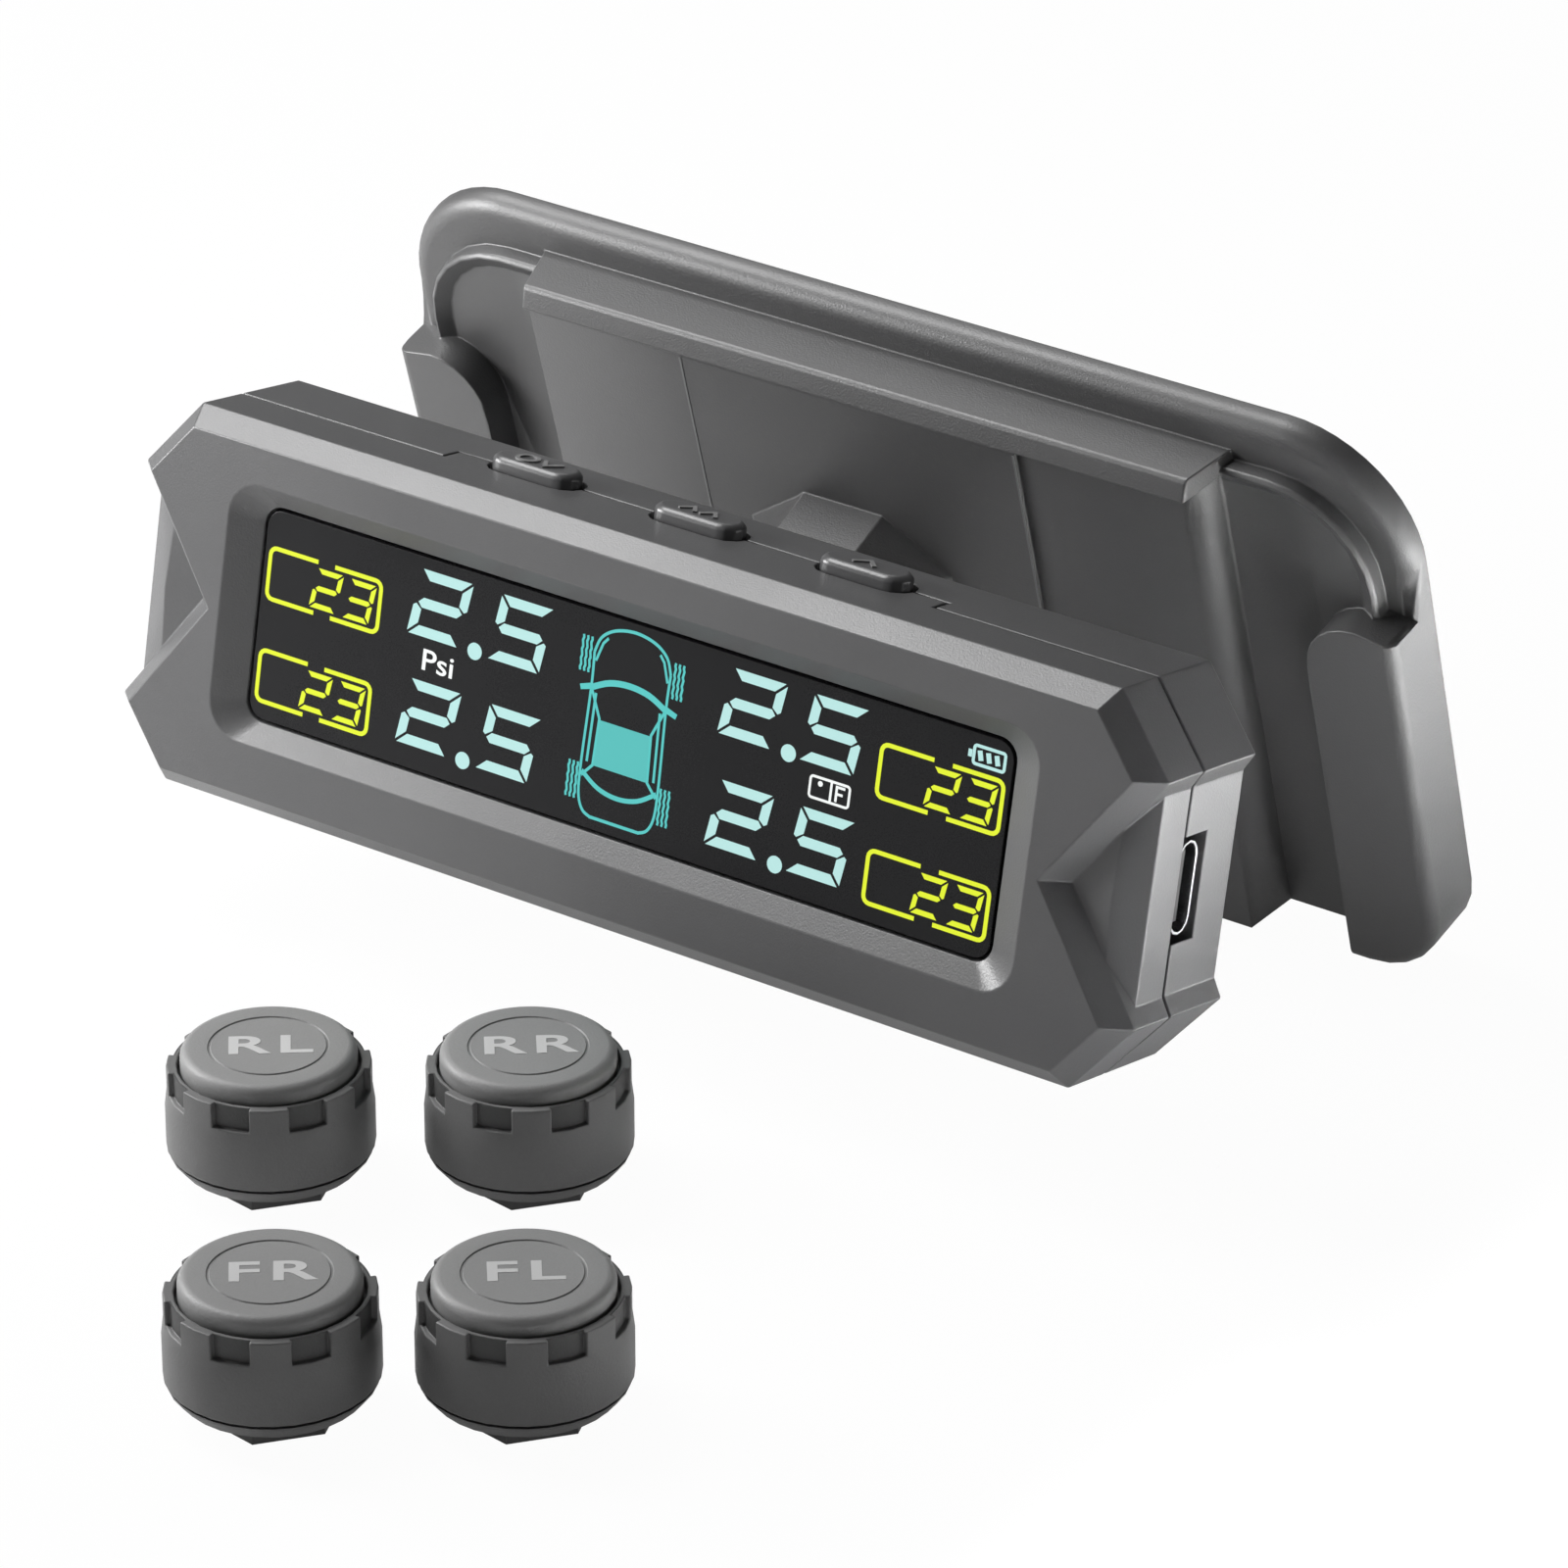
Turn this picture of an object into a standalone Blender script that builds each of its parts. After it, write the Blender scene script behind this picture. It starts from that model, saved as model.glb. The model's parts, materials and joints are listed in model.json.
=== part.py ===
"""Tyre pressure monitor: a tilting display on a windscreen holder, with four valve-cap sensors."""
import math

import bmesh
import bpy
from mathutils import Vector

MM = 0.001

# Gaps that every pair of touching pieces shares
SEAT_GAP = 0.3 * MM
SLIDE_GAP = 0.3 * MM
CUT_OVER = 1.0 * MM

# Display case, seen from the front
CASE_LENGTH = 115.2 * MM
CASE_HEIGHT = 37.3 * MM
CASE_DEPTH = 17.3 * MM
CASE_WALL = 1.8 * MM
CORNER_RUN = 5.95 * MM
TIP_SPAN = 23.0 * MM
END_RECESS = 1.0 * MM
END_WALL_SPAN = 19.6 * MM
END_EDGE_DEPTH = 3.6 * MM
BEVEL_INSET = 1.85 * MM
BEVEL_DEPTH = 2.3 * MM
NOTCH_RUN = 8.35 * MM
NOTCH_RIDGE_RISE = 0.45 * MM
NOTCH_STRIP = 2.9 * MM
BACK_CHAMFER = 0.6 * MM

# Parting line between bezel and rear shell, with the tongue under the buttons
SEAM_DEPTH = 8.0 * MM
TONGUE_LENGTH = 55.0 * MM
TONGUE_REACH = 2.4 * MM

# Window and the panels stacked behind it
WINDOW_LENGTH = 84.8 * MM
WINDOW_HEIGHT = 21.0 * MM
WINDOW_RISE = 0.75 * MM
WINDOW_RADIUS = 2.0 * MM
RECESS_DEPTH = 1.5 * MM
RECESS_SIDE = 3.3 * MM
RECESS_ABOVE = 2.0 * MM
RECESS_RADIUS = 3.6 * MM
LENS_THICKNESS = 1.2 * MM
PANEL_OVERLAP = 1.7 * MM
LCD_THICKNESS = 1.6 * MM
BACKLIGHT_THICKNESS = 1.4 * MM
BOARD_THICKNESS = 1.2 * MM

# Case screws in the corner posts
SCREW_INSET = 4.2 * MM
SCREW_END_INSET = 10.0 * MM
SCREW_RADIUS = 1.0 * MM
SCREW_HEAD_RADIUS = 1.9 * MM
SCREW_HEAD_HEIGHT = 1.0 * MM
SCREW_BITE = 3.0 * MM
POST_RADIUS = 2.3 * MM

# Push buttons along the top edge
BUTTON_PITCH = 18.6 * MM
BUTTON_LENGTH = 9.6 * MM
BUTTON_WIDTH = 3.8 * MM
BUTTON_DEPTH = 10.6 * MM
BUTTON_RISE = 1.3 * MM
BUTTON_EDGE = 0.45 * MM
BUTTON_GAP = 0.45 * MM
BUTTON_FLANGE = 0.7 * MM
BUTTON_FLANGE_HEIGHT = 0.8 * MM
BUTTON_TRAVEL = 0.6 * MM
SWITCH_LENGTH = 4.4 * MM
SWITCH_HEIGHT = 3.0 * MM
SWITCH_PLUNGER = 0.6 * MM
SWITCH_PLUNGER_SIDE = 1.6 * MM

# Charging socket in the right-hand end
USB_LENGTH = 7.2 * MM
USB_WIDTH = 8.94 * MM
USB_HEIGHT = 3.2 * MM
USB_SHELL = 0.3 * MM
USB_SETBACK = 0.35 * MM
USB_TONGUE_WIDTH = 6.7 * MM
USB_TONGUE_HEIGHT = 0.7 * MM
USB_TONGUE_SETBACK = 0.6 * MM
USB_CUT_MARGIN = 0.55 * MM

# Pieces on the back of the board
BATTERY_LENGTH = 46.0 * MM
BATTERY_HEIGHT = 21.0 * MM
BATTERY_THICKNESS = 4.2 * MM
BATTERY_POST_GAP = 4.6 * MM
BATTERY_DROP = -3.5 * MM
BATTERY_EDGE = 0.9 * MM
BUZZER_RADIUS = 4.6 * MM
BUZZER_HEIGHT = 3.2 * MM
BUZZER_PLACE = (19.0 * MM, -6.5 * MM)
ANTENNA_LENGTH = 19.0 * MM
ANTENNA_HEIGHT = 4.5 * MM
ANTENNA_STRIP = 3.0 * MM
ANTENNA_GAUGE = 0.5 * MM
ANTENNA_POST_GAP = 1.1 * MM
ANTENNA_FOOT = -10.5 * MM

# Tilt hinge between the display and the holder's arm
HINGE_STANDOFF = 5.2 * MM
HINGE_RISE = 3.0 * MM
BARREL_RADIUS = 3.2 * MM
BARREL_LENGTH = 10.0 * MM
LUG_WIDTH = 3.4 * MM
PIN_RADIUS = 1.4 * MM
DISPLAY_LEAN_BACK = math.radians(11.7)

# Windscreen holder
HOLDER_WIDTH = 114.4 * MM
HOLDER_HEIGHT = 59.5 * MM
HOLDER_LEAN = math.radians(15.9)
FLANGE_THICKNESS = 2.7 * MM
FLANGE_TOP_RADIUS = 13.0 * MM
FLANGE_FOOT_RADIUS = 8.0 * MM
PLATE_FOOT = 1.4 * MM
RAIL_WIDTH = 9.9 * MM
RAIL_HEIGHT = 42.0 * MM
RAIL_RISE = 4.55 * MM
RAIL_RADIUS = 5.7 * MM
RAIL_TOP_DROP = 0.9 * MM
SEAT_RISE = 0.9 * MM
SEAT_RIDGE_RISE = 1.0 * MM
SEAT_RIDGE_WIDTH = 1.9 * MM
SEAT_MARGIN = 3.2 * MM
SEAT_TOP_MARGIN = 4.8 * MM
SEAT_RADIUS = 10.4 * MM
SEAT_EDGE = 0.4 * MM
BLOCK_WIDTH = 75.2 * MM
BLOCK_RISE = 6.45 * MM
BLOCK_DRAFT = 1.8 * MM
BLOCK_TOP_MARGIN = 3.8 * MM
BLOCK_LIP = 0.6 * MM
VISOR_HEIGHT = 2.1 * MM
VISOR_STEP = 0.45 * MM
PANEL_WIDTH = 38.2 * MM
ARM_REACH = 19.6 * MM
ARM_HEIGHT = 36.9 * MM
ARM_SHIFT = -2.5 * MM
ARM_END_HALF = 2.7 * MM
ARM_SIDE_RELIEF = 0.45 * MM
ARM_FLARE_SIDE = 7.6 * MM
ARM_FLARE_UP = 1.4 * MM
ARM_FLARE_SHOULDER = 2.6 * MM
ARM_FLARE_DOWN = 6.0 * MM
PAD_LENGTH = 94.0 * MM
PAD_HEIGHT = 42.0 * MM
PAD_RADIUS = 6.0 * MM
PAD_THICKNESS = 0.8 * MM
PAD_CENTRE = 30.0 * MM

# Valve-cap sensors
SENSOR_RADIUS = 9.42 * MM
SENSOR_TOP_RADIUS = 9.2 * MM
SENSOR_BASE_EDGE = 1.2 * MM
HEX_CORNER_RADIUS = 6.35 * MM
HEX_HEIGHT = 2.0 * MM
HEX_TURN = math.radians(-17.0)
BASE_HEIGHT = 1.4 * MM
BODY_HEIGHT = 8.1 * MM
CROWN_DEPTH = 2.3 * MM
CROWN_WALL_RADIUS = 8.65 * MM
CROWN_TEETH = 8
LID_RADIUS = 7.95 * MM
LID_SEAT = 1.1 * MM
LID_PROUD = 1.6 * MM
LID_EDGE = 0.75 * MM
BODY_BORE_RADIUS = 7.3 * MM
SPIGOT_HEIGHT = 3.5 * MM
VALVE_RADIUS = 3.87 * MM
INSERT_RADIUS = 4.45 * MM
INSERT_HEIGHT = 5.0 * MM
GASKET_HOLE_RADIUS = 2.0 * MM
GASKET_HEIGHT = 1.0 * MM
SENSOR_BOARD_RADIUS = 6.9 * MM
SENSOR_BOARD_THICKNESS = 0.6 * MM
COIN_RADIUS = 6.25 * MM
COIN_THICKNESS = 2.0 * MM
SENSOR_TURN = math.radians(38.7)
SENSOR_PLACES = {
    "rl": (-9.8 * MM, -91.2 * MM),
    "rr": (9.05 * MM, -77.7 * MM),
    "fr": (15.2 * MM, -122.1 * MM),
    "fl": (32.7 * MM, -109.5 * MM),
}

# Facets on round pieces
TURN_STEPS = 32
SMALL_TURN_STEPS = 20
ARC_STEPS = 6
ARM_STEPS = 6

# Positions that follow from the sizes above; depth runs back from the front face
HALF_LENGTH = CASE_LENGTH / 2
HALF_HEIGHT = CASE_HEIGHT / 2
CORNER_X = HALF_LENGTH - CORNER_RUN
END_WALL_X = HALF_LENGTH - END_RECESS
REAR_FRONT = SEAM_DEPTH + SEAT_GAP
LENS_BACK = RECESS_DEPTH + LENS_THICKNESS
LCD_FRONT = LENS_BACK + SEAT_GAP
BACKLIGHT_FRONT = LCD_FRONT + LCD_THICKNESS + SEAT_GAP
BOARD_FRONT = BACKLIGHT_FRONT + BACKLIGHT_THICKNESS + SEAT_GAP
BOARD_BACK = BOARD_FRONT + BOARD_THICKNESS
ON_BOARD = BOARD_BACK + SEAT_GAP
BACK_WALL_FRONT = CASE_DEPTH - CASE_WALL
USB_DEPTH = ON_BOARD + USB_HEIGHT / 2
USB_MOUTH_X = END_WALL_X - USB_SETBACK
SCREW_X = HALF_LENGTH - SCREW_END_INSET
SCREW_Z = HALF_HEIGHT - SCREW_INSET
POST_SUM = SCREW_X + SCREW_Z - math.sqrt(2) * POST_RADIUS
HINGE_DEPTH = CASE_DEPTH + HINGE_STANDOFF
WALL_INSIDE = HALF_HEIGHT - CASE_WALL
FLANGE_FRONT = PAD_THICKNESS + SEAT_GAP + FLANGE_THICKNESS
BLOCK_FRONT = FLANGE_FRONT + BLOCK_RISE
RAIL_FRONT = FLANGE_FRONT + RAIL_RISE
RAIL_INNER_X = HOLDER_WIDTH / 2 - RAIL_WIDTH
BASE_TOP = HEX_HEIGHT + BASE_HEIGHT
BODY_BOTTOM = BASE_TOP + SEAT_GAP
BODY_TOP = BODY_BOTTOM + BODY_HEIGHT
LID_LEDGE = BODY_TOP - LID_SEAT


def clear_scene():
    for old in list(bpy.data.objects):
        bpy.data.objects.remove(old, do_unlink=True)


def plain_material(name, colour, roughness, metallic=0.0):
    material = bpy.data.materials.new(name)
    material.use_nodes = True
    shader = material.node_tree.nodes["Principled BSDF"]
    shader.inputs["Base Color"].default_value = (*colour, 1.0)
    shader.inputs["Roughness"].default_value = roughness
    shader.inputs["Metallic"].default_value = metallic
    return material


def empty(name, location, rotation=(0.0, 0.0, 0.0)):
    frame = bpy.data.objects.new(name, None)
    bpy.context.collection.objects.link(frame)
    frame.location = location
    frame.rotation_euler = rotation
    return frame


def mesh_from(name, solid):
    bmesh.ops.recalc_face_normals(solid, faces=solid.faces)
    mesh = bpy.data.meshes.new(name)
    solid.to_mesh(mesh)
    solid.free()
    return mesh


def piece(name, mesh, material, parent, location=(0.0, 0.0, 0.0), smooth=False):
    made = bpy.data.objects.new(name, mesh)
    bpy.context.collection.objects.link(made)
    if not mesh.materials:
        mesh.materials.append(material)
    made.parent = parent
    made.location = location
    if smooth:
        mesh.shade_smooth()
        mesh.set_sharp_from_angle(angle=math.radians(35))
    return made


def shape_with(made, tool_mesh, operation):
    """Cut or join with a hidden tool that sits in the same frame as the piece."""
    tool = bpy.data.objects.new(made.name + "_tool", tool_mesh)
    bpy.context.collection.objects.link(tool)
    tool.parent = made.parent
    tool.location = made.location
    tool.hide_render = True
    tool.display_type = 'WIRE'
    step = made.modifiers.new(tool.name, 'BOOLEAN')
    step.operation = operation
    step.object = tool


def cut(made, tool_mesh):
    shape_with(made, tool_mesh, 'DIFFERENCE')


def join(made, tool_mesh):
    shape_with(made, tool_mesh, 'UNION')


def skin(rings, closed=False):
    """Closed solid over rings of equal length, capped at both ends unless it closes on itself."""
    solid = bmesh.new()
    loops = [[solid.verts.new(point) for point in ring] for ring in rings]
    bands = list(zip(loops, loops[1:]))
    if closed:
        bands.append((loops[-1], loops[0]))
    for first, second in bands:
        count = len(first)
        for index in range(count):
            after = (index + 1) % count
            solid.faces.new((first[index], first[after], second[after], second[index]))
    if not closed:
        solid.faces.new(loops[0])
        solid.faces.new(loops[-1])
    return solid


def arc(centre, radius, start, end, steps=ARC_STEPS):
    turn = (end - start) / steps
    return [(centre[0] + radius * math.cos(start + turn * step),
             centre[1] + radius * math.sin(start + turn * step)) for step in range(steps + 1)]


def rounded_box(length, height, radius, rise=0.0):
    half_x = length / 2 - radius
    half_z = height / 2 - radius
    outline = []
    for quarter, (side_x, side_z) in enumerate(((1, 1), (-1, 1), (-1, -1), (1, -1))):
        start = quarter * math.pi / 2
        outline += arc((side_x * half_x, rise + side_z * half_z), radius, start, start + math.pi / 2)
    return outline


def pill(length, width):
    run = (length - width) / 2
    right = arc((run, 0.0), width / 2, -math.pi / 2, math.pi / 2)
    left = arc((-run, 0.0), width / 2, math.pi / 2, 3 * math.pi / 2)
    return right + left


def box_outline(low, high):
    return [(low[0], low[1]), (high[0], low[1]), (high[0], high[1]), (low[0], high[1])]


def inset(outline, distance):
    """Move every edge of a clockwise outline inwards by the same distance."""
    moved = []
    count = len(outline)
    for index in range(count):
        before = Vector(outline[index - 1])
        here = Vector(outline[index])
        after = Vector(outline[(index + 1) % count])
        first = (here - before).normalized()
        second = (after - here).normalized()
        inward_first = Vector((first.y, -first.x))
        inward_second = Vector((second.y, -second.x))
        spread = 1.0 + inward_first.dot(inward_second)
        moved.append(tuple(here + (inward_first + inward_second) * (distance / spread)))
    return moved


def at_depth(outline, depth):
    return [(x, depth, z) for x, z in outline]


def at_height(outline, height, shift=(0.0, 0.0)):
    return [(x + shift[0], y + shift[1], height) for x, y in outline]


def at_side(outline, x):
    return [(x, y, z) for y, z in outline]


def prism(outline, near, far):
    return skin([at_depth(outline, near), at_depth(outline, far)])


def box(low, high):
    outline = box_outline((low[0], low[2]), (high[0], high[2]))
    return prism(outline, low[1], high[1])


def turned(profile, steps=TURN_STEPS, closed=False, start=0.0):
    """Revolve (radius, height) points about the upright axis."""
    rings = []
    for radius, height in profile:
        ring = []
        for step in range(steps):
            angle = start + 2 * math.pi * step / steps
            ring.append((radius * math.sin(angle), -radius * math.cos(angle), height))
        rings.append(ring)
    return skin(rings, closed)


def rod_along_depth(x, z, radius, near, far, steps=SMALL_TURN_STEPS):
    ring = arc((x, z), radius, 0.0, 2 * math.pi, steps)[:-1]
    return prism(ring, near, far)


def rod_along_x(y, z, radius, left, right, steps=SMALL_TURN_STEPS):
    ring = arc((y, z), radius, 0.0, 2 * math.pi, steps)[:-1]
    return skin([at_side(ring, left), at_side(ring, right)])


def case_outline():
    """Clockwise outline of the case: cut corners, pointed tips and a shallow end recess."""
    right = [(CORNER_X, HALF_HEIGHT), (HALF_LENGTH, TIP_SPAN / 2), (END_WALL_X, END_WALL_SPAN / 2)]
    right += [(x, -z) for x, z in reversed(right)]
    return right + [(-x, -z) for x, z in right]


def cavity_outline(half_x):
    """Inside of the case, with its corners cut back to leave the screw posts solid."""
    corner = [(POST_SUM - WALL_INSIDE, WALL_INSIDE), (half_x, POST_SUM - half_x)]
    right = corner + [(x, -z) for x, z in reversed(corner)]
    return right + [(-x, -z) for x, z in right]


def front_corner_points():
    """Front-face points of one quarter: under the bevel, at the tip and in the notch."""
    corner = Vector((CORNER_X, HALF_HEIGHT))
    tip = Vector((HALF_LENGTH, TIP_SPAN / 2))
    notch = Vector((HALF_LENGTH - NOTCH_RUN, 0.0))
    quarter = [(-CORNER_X, HALF_HEIGHT), tuple(corner), tuple(tip), tuple(notch), (-CORNER_X, 0.0)]
    moved = inset(quarter, BEVEL_INSET)
    along = (tip - notch).normalized()
    notch_x = notch.x - BEVEL_INSET / along.y
    return moved[1], moved[2], (notch_x, 0.0)


def bezel_mesh():
    """Front half of the case: flat face, bevel all round and the faceted arrow notch at each end."""
    front_corner, front_tip, front_notch = front_corner_points()
    notch_x = HALF_LENGTH - NOTCH_RUN
    strip_x = END_WALL_X - NOTCH_STRIP
    strip_z = (strip_x - notch_x) / NOTCH_RUN * TIP_SPAN / 2
    end_z = END_WALL_SPAN / 2
    tip_z = TIP_SPAN / 2
    middle = (0.0, 0.0, 0.0)
    face_top = (0.0, 0.0, front_corner[1])
    face_corner = (front_corner[0], 0.0, front_corner[1])
    face_tip = (front_tip[0], 0.0, front_tip[1])
    face_notch = (front_notch[0], 0.0, 0.0)
    bevel_top = (0.0, BEVEL_DEPTH, HALF_HEIGHT)
    bevel_corner = (CORNER_X, BEVEL_DEPTH, HALF_HEIGHT)
    bevel_tip = (HALF_LENGTH, BEVEL_DEPTH, tip_z)
    bevel_notch = (notch_x, BEVEL_DEPTH, 0.0)
    ridge = (strip_x, BEVEL_DEPTH - NOTCH_RIDGE_RISE, 0.0)
    strip = (strip_x, BEVEL_DEPTH, strip_z)
    end_edge = (END_WALL_X, END_EDGE_DEPTH, end_z)
    end_middle = (END_WALL_X, END_EDGE_DEPTH, 0.0)
    seam_middle = (0.0, SEAM_DEPTH, 0.0)
    seam_top = (0.0, SEAM_DEPTH, HALF_HEIGHT)
    seam_corner = (CORNER_X, SEAM_DEPTH, HALF_HEIGHT)
    seam_tip = (HALF_LENGTH, SEAM_DEPTH, tip_z)
    seam_end = (END_WALL_X, SEAM_DEPTH, end_z)
    seam_end_middle = (END_WALL_X, SEAM_DEPTH, 0.0)
    quarter_faces = (
        (middle, face_notch, face_tip, face_corner, face_top),
        (face_top, face_corner, bevel_corner, bevel_top),
        (face_corner, face_tip, bevel_tip, bevel_corner),
        (face_notch, bevel_notch, strip, bevel_tip, face_tip),
        (bevel_notch, ridge, strip),
        (ridge, end_middle, end_edge, strip),
        (strip, end_edge, bevel_tip),
        (bevel_top, bevel_corner, seam_corner, seam_top),
        (bevel_corner, bevel_tip, seam_tip, seam_corner),
        (bevel_tip, end_edge, seam_end, seam_tip),
        (end_edge, end_middle, seam_end_middle, seam_end),
        (seam_middle, seam_end_middle, seam_end, seam_tip, seam_corner, seam_top),
    )
    solid = bmesh.new()
    for side_x in (1, -1):
        for side_z in (1, -1):
            for face in quarter_faces:
                solid.faces.new([solid.verts.new((side_x * x, y, side_z * z)) for x, y, z in face])
    bmesh.ops.remove_doubles(solid, verts=solid.verts, dist=0.01 * MM)
    return mesh_from("front_bezel", solid)


def window_cutter():
    """Sloping recess down to the window, then straight through behind it."""
    outer = rounded_box(WINDOW_LENGTH + 2 * RECESS_SIDE, WINDOW_HEIGHT + 2 * RECESS_ABOVE, RECESS_RADIUS,
                        WINDOW_RISE)
    inner = rounded_box(WINDOW_LENGTH, WINDOW_HEIGHT, WINDOW_RADIUS, WINDOW_RISE)
    over = CUT_OVER / RECESS_DEPTH
    beyond = [(a[0] + (a[0] - b[0]) * over, a[1] + (a[1] - b[1]) * over) for a, b in zip(outer, inner)]
    rings = [at_depth(beyond, -CUT_OVER), at_depth(inner, RECESS_DEPTH), at_depth(inner, SEAM_DEPTH)]
    return mesh_from("window_cutter", skin(rings))


def button_hole(index):
    outline = pill(BUTTON_LENGTH + 2 * BUTTON_GAP, BUTTON_WIDTH + 2 * BUTTON_GAP)
    shift = (index * BUTTON_PITCH, BUTTON_DEPTH)
    low = WALL_INSIDE - CUT_OVER
    high = HALF_HEIGHT + CUT_OVER
    return mesh_from("button_hole", skin([at_height(outline, low, shift), at_height(outline, high, shift)]))


def screw_spots():
    return [(side_x * SCREW_X, side_z * SCREW_Z) for side_x in (-1, 1) for side_z in (-1, 1)]


def build_case(frame, origin, plastic):
    """Bezel and rear shell, with everything that is cut through them."""
    board_room = BACKLIGHT_FRONT
    bezel = piece("front_bezel", bezel_mesh(), plastic, frame, origin)
    tongue_half = TONGUE_LENGTH / 2
    tongue_low = (-tongue_half, SEAM_DEPTH - CASE_WALL, WALL_INSIDE)
    tongue_high = (tongue_half, SEAM_DEPTH + TONGUE_REACH, HALF_HEIGHT)
    join(bezel, mesh_from("bezel_tongue", box(tongue_low, tongue_high)))
    cut(bezel, window_cutter())
    panel_half_x = WINDOW_LENGTH / 2 + PANEL_OVERLAP + SLIDE_GAP
    panel_half_z = WINDOW_HEIGHT / 2 + PANEL_OVERLAP + SLIDE_GAP
    panel_low = (-panel_half_x, LENS_BACK, WINDOW_RISE - panel_half_z)
    panel_high = (panel_half_x, SEAM_DEPTH + CUT_OVER, WINDOW_RISE + panel_half_z)
    cut(bezel, mesh_from("panel_pocket", box(panel_low, panel_high)))
    cavity = cavity_outline(END_WALL_X - 2 * CASE_WALL)
    cut(bezel, mesh_from("bezel_cavity", prism(cavity, board_room, SEAM_DEPTH + CUT_OVER)))

    rear_outline = case_outline()
    chamfered = inset(rear_outline, BACK_CHAMFER)
    rear_rings = [at_depth(rear_outline, REAR_FRONT), at_depth(rear_outline, CASE_DEPTH - BACK_CHAMFER),
                  at_depth(chamfered, CASE_DEPTH)]
    rear = piece("rear_shell", mesh_from("rear_shell", skin(rear_rings)), plastic, frame, origin)
    for side in (-1, 1):
        join(rear, lug_mesh(side))
    rear_cavity = cavity_outline(END_WALL_X - CASE_WALL)
    cut(rear, mesh_from("rear_cavity", prism(rear_cavity, REAR_FRONT - CUT_OVER, BACK_WALL_FRONT)))
    notch_low = (-tongue_half - SEAT_GAP, REAR_FRONT - CUT_OVER, WALL_INSIDE - CUT_OVER)
    notch_high = (tongue_half + SEAT_GAP, SEAM_DEPTH + TONGUE_REACH + SEAT_GAP, HALF_HEIGHT + CUT_OVER)
    cut(rear, mesh_from("tongue_notch", box(notch_low, notch_high)))
    usb_half = USB_WIDTH / 2 + USB_CUT_MARGIN
    usb_low = (END_WALL_X - CASE_WALL - CUT_OVER, REAR_FRONT - CUT_OVER, -usb_half)
    usb_high = (END_WALL_X + CUT_OVER, USB_DEPTH + USB_HEIGHT / 2 + USB_CUT_MARGIN, usb_half)
    cut(rear, mesh_from("usb_cut", box(usb_low, usb_high)))
    pin_room = PIN_RADIUS + SLIDE_GAP
    reach = BARREL_LENGTH / 2 + SLIDE_GAP + LUG_WIDTH + CUT_OVER
    pin_bore = rod_along_x(HINGE_DEPTH, HINGE_RISE, pin_room, ARM_SHIFT - reach, ARM_SHIFT + reach)
    cut(rear, mesh_from("pin_bore", pin_bore))
    for index in (-1, 0, 1):
        cut(bezel, button_hole(index))
        cut(rear, button_hole(index))
    shank_room = SCREW_RADIUS + SLIDE_GAP
    head_room = SCREW_HEAD_RADIUS + SLIDE_GAP
    head_floor = CASE_DEPTH - SCREW_HEAD_HEIGHT - 2 * SEAT_GAP
    pilot_end = SEAM_DEPTH - SCREW_BITE - SEAT_GAP
    for x, z in screw_spots():
        cut(bezel, mesh_from("pilot", rod_along_depth(x, z, shank_room, pilot_end, SEAM_DEPTH + CUT_OVER)))
        through = rod_along_depth(x, z, shank_room, REAR_FRONT - CUT_OVER, CASE_DEPTH + CUT_OVER)
        cut(rear, mesh_from("screw_hole", through))
        sink = rod_along_depth(x, z, head_room, head_floor, CASE_DEPTH + CUT_OVER)
        cut(rear, mesh_from("head_sink", sink))


def lug_mesh(side):
    """Hinge lug on the back of the case: a straight root with a round end."""
    root = BACK_WALL_FRONT + CASE_WALL / 2
    round_end = arc((HINGE_DEPTH, HINGE_RISE), BARREL_RADIUS, -math.pi / 2, math.pi / 2, 2 * ARC_STEPS)
    outline = [(root, HINGE_RISE - BARREL_RADIUS)] + round_end + [(root, HINGE_RISE + BARREL_RADIUS)]
    inner = ARM_SHIFT + side * (BARREL_LENGTH / 2 + SLIDE_GAP)
    outer = inner + side * LUG_WIDTH
    return mesh_from("hinge_lug", skin([at_side(outline, inner), at_side(outline, outer)]))


def build_panels(frame, origin, glass, dark, light, board):
    lens_outline = rounded_box(WINDOW_LENGTH - 2 * SEAT_GAP, WINDOW_HEIGHT - 2 * SEAT_GAP,
                               WINDOW_RADIUS - SEAT_GAP, WINDOW_RISE)
    piece("screen_lens", mesh_from("screen_lens", prism(lens_outline, RECESS_DEPTH, LENS_BACK)), glass,
          frame, origin)
    half_x = WINDOW_LENGTH / 2 + PANEL_OVERLAP
    half_z = WINDOW_HEIGHT / 2 + PANEL_OVERLAP
    panel = box_outline((-half_x, WINDOW_RISE - half_z), (half_x, WINDOW_RISE + half_z))
    lcd = prism(panel, LCD_FRONT, LCD_FRONT + LCD_THICKNESS)
    piece("lcd_panel", mesh_from("lcd_panel", lcd), dark, frame, origin)
    backlight = prism(panel, BACKLIGHT_FRONT, BACKLIGHT_FRONT + BACKLIGHT_THICKNESS)
    piece("backlight_plate", mesh_from("backlight_plate", backlight), light, frame, origin)
    board_outline = inset(cavity_outline(END_WALL_X - 2 * CASE_WALL), 2 * SEAT_GAP)
    main_board = prism(board_outline, BOARD_FRONT, BOARD_BACK)
    piece("main_board", mesh_from("main_board", main_board), board, frame, origin)


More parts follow.
